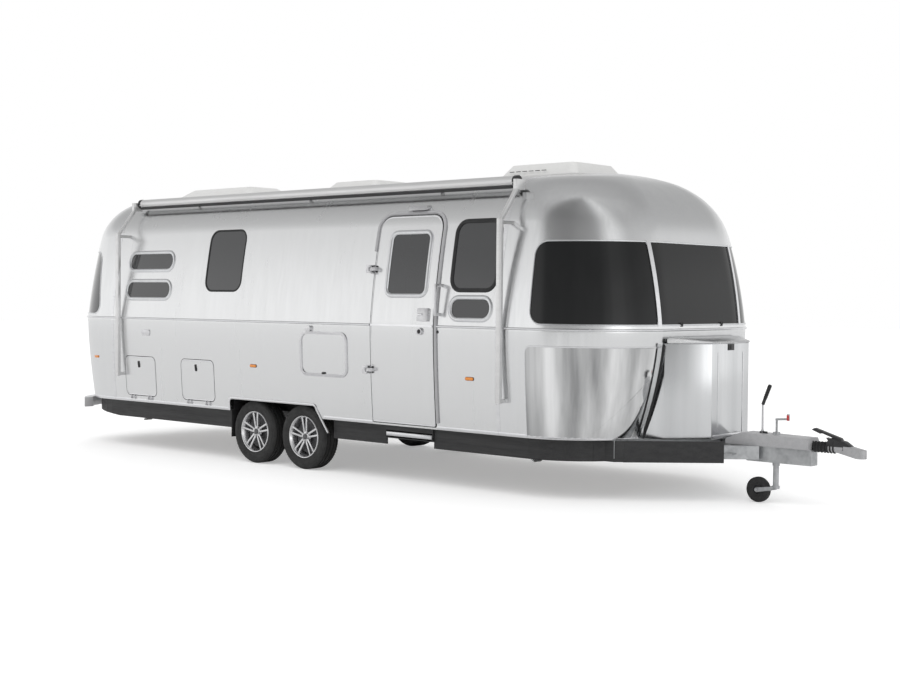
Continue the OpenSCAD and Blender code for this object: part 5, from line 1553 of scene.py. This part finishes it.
@dataclass
class RunningGear:
    """The four road wheels and their tyres."""

    stations: dict = field(default_factory=lambda: {"front": -0.545, "rear": -1.230})
    track: float = 1.0675
    radius: float = 0.298
    width: float = 0.185
    rim_r: float = 0.196
    spokes: int = 5

    def build(self) -> None:
        """Builds the four wheels."""
        for place, x in self.stations.items():
            for hand, side in ((RIGHT, "right"), (LEFT, "left")):
                body = f"wheel_{place}_{side}"
                self.tyre(body, f"tyre_{place}_{side}", x, hand)
                self.wheel(body, x, hand)

    def tyre(self, body: str, node: str, x: float, hand: int) -> None:
        """Builds one tyre with its grooves and sidewall steps."""
        r, half = self.radius, self.width / 2
        side = [(self.rim_r + 0.001, half * 0.86), (self.rim_r + 0.010, half * 0.93),
                (self.rim_r + 0.024, half * 0.965), (self.rim_r + 0.027, half * 0.955),
                (r * 0.80, half * 0.995), (r * 0.86, half * 0.999), (r * 0.865, half * 0.985),
                (r * 0.93, half * 0.955), (r * 0.965, half * 0.90), (r * 0.985, half * 0.80)]
        grooves = []
        for edge in (0.60, 0.22):
            grooves += [(r * 0.997, half * (edge + 0.10)), (r * 0.972, half * (edge + 0.085)),
                        (r * 0.972, half * (edge - 0.045)), (r * 0.9995, half * (edge - 0.06))]
        profile = ([(a, -b) for a, b in side] + [(a, -b) for a, b in grooves]
                   + [(a, b) for a, b in reversed(grooves)] + [(a, b) for a, b in reversed(side)])
        sipes = 64

        def bite(point: Vector) -> Vector:
            """Sinks every other step of the tread's shoulder a little."""
            run = hypot(point.x, point.y)
            if run > r * 0.955 and abs(point.z) > half * 0.74:
                step = round(atan2(point.y, point.x) / (2 * pi) * sipes * 2) % 2
                scale = (run - 0.004 * step) / run
                return Vector((point.x * scale, point.y * scale, point.z))
            return point

        maker = Maker().lathe(profile, (x, hand * self.track, r), (0, 1, 0), sipes * 2, bite)
        maker.piece(node + "_tread", body, TYRE, (node,), 28)

    def wheel(self, body: str, x: float, hand: int) -> None:
        """Builds one alloy wheel with five pairs of spokes."""
        at = Vector((x, hand * self.track, self.radius))
        out = Vector((0, hand, 0))
        rim, face = Maker(), self.width / 2 - 0.010
        barrel = [(self.rim_r, -face), (self.rim_r - 0.006, -face - 0.003),
                  (self.rim_r - 0.012, -face + 0.002), (self.rim_r - 0.020, -face + 0.02),
                  (self.rim_r - 0.032, -0.02), (self.rim_r - 0.032, 0.035),
                  (self.rim_r - 0.022, face - 0.022), (self.rim_r - 0.016, face - 0.006),
                  (self.rim_r - 0.010, face + 0.002), (self.rim_r - 0.004, face + 0.003),
                  (self.rim_r, face - 0.002), (self.rim_r - 0.006, face - 0.012),
                  (self.rim_r - 0.014, face - 0.026), (self.rim_r - 0.025, 0.03),
                  (self.rim_r - 0.025, -0.025), (self.rim_r - 0.012, -face + 0.024)]
        rim.lathe(barrel, at, out, 72)
        turn = out.to_track_quat("Z", "Y").to_matrix().to_4x4()
        base = Matrix.Translation(at) @ turn
        hub_z = face - 0.022
        for i in range(self.spokes):
            angle = 2 * pi * i / self.spokes + pi / 2
            for lean in (-1, 1):
                spread_in, spread_out = 0.013 * lean, 0.030 * lean
                inner, outer, half = 0.034, self.rim_r - 0.014, 0.0105
                outline = [(inner, spread_in - half), (outer, spread_out - half * 0.9),
                           (outer, spread_out + half * 0.9), (inner, spread_in + half)]
                shape = Matrix.Rotation(angle, 4, "Z")
                rim.prism(outline, lambda u, v: Vector((u, v, hub_z - 0.020
                                                        + 0.016 * (u - inner) / 0.148)),
                          (0, 0, 0.022), 0.005, 3, base @ shape)
        rim.lathe([(0.0, hub_z - 0.03), (0.052, hub_z - 0.03), (0.056, hub_z - 0.016),
                   (0.050, hub_z + 0.001), (0.034, hub_z + 0.004), (0.030, hub_z + 0.001),
                   (0.0, hub_z + 0.001)], at, out, 40)
        rim.piece(body + "_rim", body, ALLOY, (body,), 34)
        dark = Maker()
        dark.lathe([(0.0305, -0.06), (0.150, -0.06), (0.158, -0.05), (0.158, 0.012),
                    (0.150, 0.020), (0.0305, 0.020)], at, out, 48)
        for i in range(self.spokes):
            angle = 2 * pi * (i + 0.5) / self.spokes + pi / 2
            spot = base @ Vector((0.042 * cos(angle), 0.042 * sin(angle), hub_z))
            dark.rod(spot, spot + out * 0.006, 0.0065, 12, 0.001)
        dark.lathe([(0.0, hub_z), (0.026, hub_z), (0.026, hub_z + 0.005), (0.018, hub_z + 0.009),
                    (0.0, hub_z + 0.009)], at, out, 28)
        dark.piece(body + "_drum", body, ALLOY_DARK, (), 34)


@dataclass
class Awning:
    """The side awning: its roll, its end caps and its folded arms."""

    y: float = -0.997
    z: float = 2.529
    radius: float = 0.048
    x0: float = -3.245
    x1: float = 1.845

    def build(self) -> None:
        """Builds the roll, the caps, the hem, the arms and the brackets."""
        soft_copy("awning_arms", "folded_arms", "caravan", AWNING, 0.004)
        roll, caps, cloth = Maker(), Maker(), Maker()
        roll.lathe([(0.0, 0.012), (self.radius * 0.93, 0.012),
                    (self.radius * 0.93, self.x1 - self.x0 - 0.012),
                    (0.0, self.x1 - self.x0 - 0.012)],
                   (self.x0, self.y, self.z), (1, 0, 0), 40)
        for k in range(3):
            angle = radians(200 + 45 * k)
            y = self.y + self.radius * 0.95 * cos(angle)
            z = self.z + self.radius * 0.95 * sin(angle)
            roll.rod((self.x0 + 0.03, y, z), (self.x1 - 0.03, y, z), 0.004, 8)
        roll.piece("awning_roll", "caravan", AWNING, ("awning_roller",))
        for x, way in ((self.x0, 1), (self.x1, -1)):
            caps.lathe([(0.0, 0.0), (self.radius * 0.80, 0.0), (self.radius * 0.99, 0.006),
                        (self.radius * 0.99, 0.040), (self.radius * 0.94, 0.044), (0.0, 0.044)],
                       (x, self.y, self.z), (way, 0, 0), 40)
        caps.piece("awning_caps", "caravan", PLASTIC)
        cloth.box((self.x0 + 0.05, self.y - self.radius * 0.80, self.z - self.radius * 1.24),
                  (self.x1 - 0.05, self.y - self.radius * 0.35, self.z - self.radius * 0.78),
                  0.004)
        cloth.piece("awning_hem", "caravan", HEM)
        self.rail()

    def rail(self) -> None:
        """Builds the three brackets behind the roll."""
        rail, z = Maker(), 2.500
        for x in (-2.35, -0.70, 0.95):
            rail.box((x - 0.02, -0.965, z - 0.012), (x + 0.02, -0.905, z + 0.004), 0.003)
        rail.piece("awning_rail", "caravan", AWNING)


@dataclass
class RoofUnits:
    """The cooler and the two roof lights."""

    def build(self) -> None:
        """Builds the units with their louvres and ribs."""
        soft_copy("roof_units", "roof_shells", "caravan", ROOF_PLASTIC, 0.014, 3)
        grille = Maker()
        for i in range(9):
            x = 1.20 + 0.036 * i
            grille.box((x, -0.20, 2.7365), (x + 0.016, 0.20, 2.7415), 0.0015)
        for y in (-0.362, 0.362):
            for i in range(6):
                grille.box((1.22 + 0.07 * i, min(y, y * 0.985), 2.672),
                           (1.27 + 0.07 * i, max(y, y * 0.985), 2.678), 0.001)
        grille.piece("cooler_grille", "caravan", PLASTIC)


@dataclass
class WallFittings:
    """Lamps, reflectors, locks and the other fittings of the walls."""

    markers: tuple[float, ...] = (-1.163, 1.530)
    marker_z: float = 0.927

    def build(self) -> None:
        """Builds the fittings of the walls."""
        soft_copy("side_fittings", "wall_fittings", "caravan", SATIN, 0.002)
        self.marker_lights()
        self.porch_light()
        self.tail_lights()
        self.lock()

    def marker_lights(self) -> None:
        """Builds the oval reflectors."""
        lens, base, z = Maker(), Maker(), self.marker_z
        foot = rounded_outline(-0.048, -0.0155, 0.048, 0.0155, 0.0155, 0.0155)
        oval = rounded_outline(-0.043, -0.0125, 0.043, 0.0125, 0.0125, 0.0125)
        for hand in (RIGHT, LEFT):
            for x in self.markers:
                seat = FORM.mount(x, z, hand)
                base.prism(foot, lambda u, v: Vector((u, v, -0.001)), (0, 0, 0.004), 0.001,
                           matrix=seat)
                lens.prism(oval, lambda u, v: Vector((u, v, 0.002)), (0, 0, 0.0065), 0.003, 3,
                           seat)
            seat = FORM.mount_end(hand * FORM.run_to(3.72, z, -1), z, -1)
            lens.prism(oval, lambda u, v: Vector((u, v, 0.0)), (0, 0, 0.007), 0.003, 3, seat)
        lens.piece("marker_lenses", "caravan", AMBER, ("marker_lights",))
        base.piece("marker_bases", "caravan", PLASTIC)

    def porch_light(self) -> None:
        """Builds the lamp over the door."""
        seat = FORM.mount(0.835, 2.341, RIGHT)
        lamp = Maker()
        lamp.prism(rounded_outline(-0.085, -0.013, 0.085, 0.013, 0.012, 0.012),
                   lambda u, v: Vector((u, v, 0.010)), (0, 0, 0.012), 0.004, 3, seat)
        lamp.piece("porch_lens", "caravan", LAMP)

    def tail_lights(self) -> None:
        """Builds the stacked lamps of the rear corners."""
        red, amber, clear, frame_piece = Maker(), Maker(), Maker(), Maker()
        for hand in (RIGHT, LEFT):
            def span(angle: float) -> Callable[[float], float]:
                """Gives the distance round the tail at an angle of its corner."""
                def at(z: float) -> float:
                    """Gives that distance at a height."""
                    width, r = FORM.level(z, -1)[1:]
                    return width - r + r * radians(90 - angle)
                return at
            near, far = span(77), span(53)
            start, stop = (lambda z: -far(z), lambda z: -near(z)) if hand == RIGHT \
                else (near, far)
            place = lambda q, z, d: FORM.around(q, z, -1, d)
            for maker, z0, z1, deep in ((red, 0.985, 1.150, 0.011), (amber, 0.875, 0.980, 0.010),
                                        (clear, 0.770, 0.870, 0.010)):
                Patch(place, z0, z1, start, stop, 0.012, 0.012, 8, 4).slab(maker, -deep, 0.001)
            Patch(place, 0.764, 1.156, start, stop, 0.016, 0.016, 8, 12).ring(
                frame_piece, [(-0.001, 0.001), (-0.001, -0.009), (0.004, -0.0105),
                              (0.009, -0.006), (0.010, 0.001)])
        red.piece("stop_lenses", "caravan", RED, ("tail_lights",))
        amber.piece("turn_lenses", "caravan", AMBER)
        clear.piece("reverse_lenses", "caravan", CLEAR)
        frame_piece.piece("tail_light_bezels", "caravan", BRIGHT, (), 40)

    def lock(self) -> None:
        """Builds the key lock beside the door and the latch of the service hatch."""
        maker = Maker()
        seat = FORM.mount(1.185, 1.300, RIGHT)
        maker.lathe([(0.0, -0.001), (0.013, -0.001), (0.013, 0.004), (0.009, 0.007),
                     (0.0, 0.007)], seat.translation, seat.col[2].to_3d(), 20)
        service = FORM.mount(-0.197, 0.900, RIGHT)
        maker.prism(rounded_outline(-0.020, -0.010, 0.020, 0.010, 0.005, 0.005),
                    lambda u, v: Vector((u, v, 0.004)), (0, 0, 0.006), 0.0015, matrix=service)
        maker.piece("wall_locks", "caravan", PLASTIC)


@dataclass
class Underside:
    """Bumper, step, flaps, and finishes of the nodes that keep their own shape."""

    kept: dict = field(default_factory=lambda: {
        "floor_pan": BOARD, "skirts": SKIRT, "wheel_wells": SKIRT, "step_housing": SKIRT,
        "chassis_frame": GALVANISED, "a_frame": GALVANISED, "axles": AXLE,
        "jockey_inner_tube": GALVANISED, "jockey_fork": GALVANISED,
        "steady_front_right": GALVANISED, "steady_front_left": GALVANISED,
        "steady_rear_right": GALVANISED, "steady_rear_left": GALVANISED,
    })

    def build(self) -> None:
        """Dresses the kept nodes, and builds the bumper, the step and the flaps."""
        for node, finish in self.kept.items():
            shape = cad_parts[node]
            material = MATERIALS.get(finish)
            if not shape.material_slots:
                shape.data.materials.append(material)
            for slot in shape.material_slots:
                slot.material = material
            log.info("%s: kept in %s", node, finish.name)
        soft_copy("rear_bumper", "bumper_bar", "caravan", BUMPER, 0.014, 3)
        self.step()
        self.flaps()

    def step(self) -> None:
        """Builds the step with its ribbed tread and bright nosing."""
        soft_copy("entry_step", "step_board", "entry_step", TREAD, 0.003)
        ribs = Maker()
        low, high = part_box("entry_step")
        for i in range(14):
            x = low.x + 0.03 + (high.x - low.x - 0.06) * i / 13
            ribs.box((x - 0.006, low.y + 0.012, high.z - 0.001), (x + 0.006, high.y - 0.03,
                                                                  high.z + 0.0015), 0.0006)
        ribs.piece("step_grip", "entry_step", PLASTIC)
        nosing = Maker()
        nosing.box((low.x + 0.004, low.y - 0.003, low.z + 0.006),
                   (high.x - 0.004, low.y + 0.006, high.z - 0.003), 0.002)
        nosing.piece("step_nosing", "entry_step", BRIGHT)

    def flaps(self) -> None:
        """Builds the closing plates of the skirt and the flaps behind the wheels."""
        plates, plan = Maker(), [(2.552, 0.921), (2.612, 0.853), (2.697, 0.850), (2.753, 0.801),
                                 (2.746, 0.794), (2.692, 0.841), (2.606, 0.843), (2.547, 0.914)]
        for hand in (RIGHT, LEFT):
            plates.prism(plan, lambda u, v, h=hand: Vector((u, h * v, 0.317)), (0, 0, 0.166),
                         0.0015)
        plates.piece("skirt_corner_plates", "caravan", SKIRT)
        maker = Maker()
        for hand in (RIGHT, LEFT):
            y0, y1 = sorted((hand * 0.985, hand * 1.150))
            maker.box((-1.574, y0, 0.225), (-1.566, y1, 0.484), 0.002)
        maker.piece("mud_flaps", "caravan", RUBBER)


@dataclass
class Studio:
    """Floor, soft light and camera."""

    eye: tuple[float, float, float] = (9.005, -9.819, 1.600)
    look: tuple[float, float, float] = (-0.66663, 0.74477, -0.03041)
    roll: float = 0.465
    lens: float = 56.2
    lift: float = 0.36
    around: tuple[tuple[float, float], ...] = (
        (-180, 0.9), (-138, 1.0), (-122, 1.0), (-112, 0.42), (-84, 0.40), (-60, 0.52),
        (-42, 0.62), (-31, 1.1), (-24, 1.55), (-14, 1.55), (-5, 1.2), (6, 0.95), (26, 1.0),
        (46, 0.95), (74, 0.85), (100, 0.85), (180, 0.9))
    above: tuple[tuple[float, float], ...] = (
        (0, 1.12), (9, 1.10), (17, 0.86), (27, 0.60), (48, 0.50), (70, 0.56), (90, 0.66))

    def build(self) -> None:
        """Builds the floor, the lights and the camera."""
        self.floor()
        self.light()
        self.camera()

    def floor(self) -> None:
        """Builds the pale floor."""
        bm = bmesh.new()
        bmesh.ops.create_grid(bm, x_segments=4, y_segments=4, size=60.0)
        floor = link_object("studio_floor", bm)
        material = bpy.data.materials.new("studio_floor")
        material.use_nodes = True
        tree = material.node_tree
        nodes, shader = tree.nodes, tree.nodes["Principled BSDF"]
        tune(shader, {"Base Color": (0.80, 0.80, 0.80, 1.0), "Roughness": 0.9,
                      "Specular IOR Level": 0.1, "Emission Color": (1, 1, 1, 1)})
        path, lift = nodes.new("ShaderNodeLightPath"), nodes.new("ShaderNodeMath")
        lift.operation = "MULTIPLY"
        lift.inputs[1].default_value = self.lift
        wire(tree, (path, "Is Camera Ray", lift, 0), (lift, 0, shader, "Emission Strength"))
        floor.data.materials.append(material)

    def light(self) -> None:
        """Sets a white world with grey studio walls in its gloss, and two soft lamps."""
        world = bpy.data.worlds.new("studio")
        bpy.context.scene.world = world
        world.use_nodes = True
        tree, nodes = world.node_tree, world.node_tree.nodes
        back, path = nodes["Background"], nodes.new("ShaderNodeLightPath")
        white, mix = nodes.new("ShaderNodeBackground"), nodes.new("ShaderNodeMixShader")
        first, second = nodes.new("ShaderNodeMath"), nodes.new("ShaderNodeMath")
        first.operation = second.operation = "MAXIMUM"
        tune(back, {"Color": (1, 1, 1, 1), "Strength": 0.72})
        white.inputs["Strength"].default_value = 1.0
        wire(tree, (self.walls(tree, path), 2, white, "Color"),
             (path, "Is Camera Ray", first, 0), (path, "Is Glossy Ray", first, 1),
             (first, 0, second, 0), (path, "Is Transmission Ray", second, 1),
             (second, 0, mix, 0), (back, 0, mix, 1), (white, 0, mix, 2),
             (mix, 0, nodes["World Output"], "Surface"))
        for name, at, power in (("key", (3.0, -6.0, 9.0), 0.85),
                                ("fill", (-5.0, 6.0, 8.0), 0.4)):
            data = bpy.data.lights.new(name, "SUN")
            data.angle = radians(50)
            data.energy = power
            lamp = bpy.data.objects.new(name, data)
            lamp.location = at
            lamp.rotation_mode = "QUATERNION"
            lamp.rotation_quaternion = (-Vector(at)).to_track_quat("-Z", "Y")
            lamp.visible_glossy = False
            bpy.context.scene.collection.objects.link(lamp)

    def walls(self, tree: bpy.types.NodeTree, path: bpy.types.Node) -> bpy.types.Node:
        """Builds the studio's soft grey walls, which reflections show and the camera doesn't.

        Args:
            tree: The world's nodes.
            path: Tells the rays of the camera apart.

        Returns:
            The node with their colour.
        """
        nodes = tree.nodes
        place, split = nodes.new("ShaderNodeTexCoord"), nodes.new("ShaderNodeSeparateXYZ")
        turn, tilt = nodes.new("ShaderNodeMath"), nodes.new("ShaderNodeMath")
        turn.operation, tilt.operation = "ARCTAN2", "ARCSINE"
        wire(tree, (place, "Generated", split, 0), (split, "Y", turn, 0),
             (split, "X", turn, 1), (split, "Z", tilt, 0))
        shades = []
        for angle, limits, stops in ((turn, (-180, 180), self.around),
                                     (tilt, (0, 90), self.above)):
            span, ramp = nodes.new("ShaderNodeMapRange"), nodes.new("ShaderNodeValToRGB")
            tune(span, {"From Min": radians(limits[0]),
                        "From Max": radians(limits[1])})
            wire(tree, (angle, 0, span, "Value"), (span, "Result", ramp, "Fac"))
            band = ramp.color_ramp
            band.interpolation = "EASE"
            while len(band.elements) < len(stops):
                band.elements.new(0.5)
            for stop, (degrees, level) in zip(band.elements, stops):
                stop.position = (degrees - limits[0]) / (limits[1] - limits[0])
                stop.color = (level, level, level, 1.0)
            shades.append(ramp)
        both, plain = nodes.new("ShaderNodeMix"), nodes.new("ShaderNodeMix")
        both.data_type = plain.data_type = "RGBA"
        both.blend_type = "MULTIPLY"
        both.inputs[0].default_value = 1.0
        wire(tree, (shades[0], "Color", both, 6), (shades[1], "Color", both, 7),
             (path, "Is Camera Ray", plain, 0), (both, 2, plain, 6))
        plain.inputs[7].default_value = (1, 1, 1, 1)
        return plain

    def camera(self) -> None:
        """Places the camera."""
        data = bpy.data.cameras.new("camera")
        data.lens, data.sensor_width = self.lens, 36.0
        data.clip_end = 300.0
        eye = bpy.data.objects.new("camera", data)
        bpy.context.scene.collection.objects.link(eye)
        ahead = Vector(self.look).normalized()
        right = ahead.cross(Vector((0, 0, 1))).normalized()
        up = right.cross(ahead)
        turn = radians(self.roll)
        side = right * cos(turn) + up * sin(turn)
        head = up * cos(turn) - right * sin(turn)
        eye.matrix_world = Matrix.Translation(Vector(self.eye)) @ Matrix(
            (side, head, -ahead)).transposed().to_4x4()
        bpy.context.scene.camera = eye


def main() -> None:
    """Builds the caravan and its studio."""
    bpy.context.scene.view_settings.view_transform = "Standard"
    for part in (Studio(), Skins(), Glazing(), EntryDoor(), LockerHatches(), GasLocker(),
                 Drawbar(), RunningGear(), Awning(), RoofUnits(), WallFittings(),
                 Underside()):
        part.build()
        log.info("%s built", type(part).__name__)
    for block in [m for m in bpy.data.meshes if m.users == 0]:
        bpy.data.meshes.remove(block)


if __name__ == "__main__":
    main()
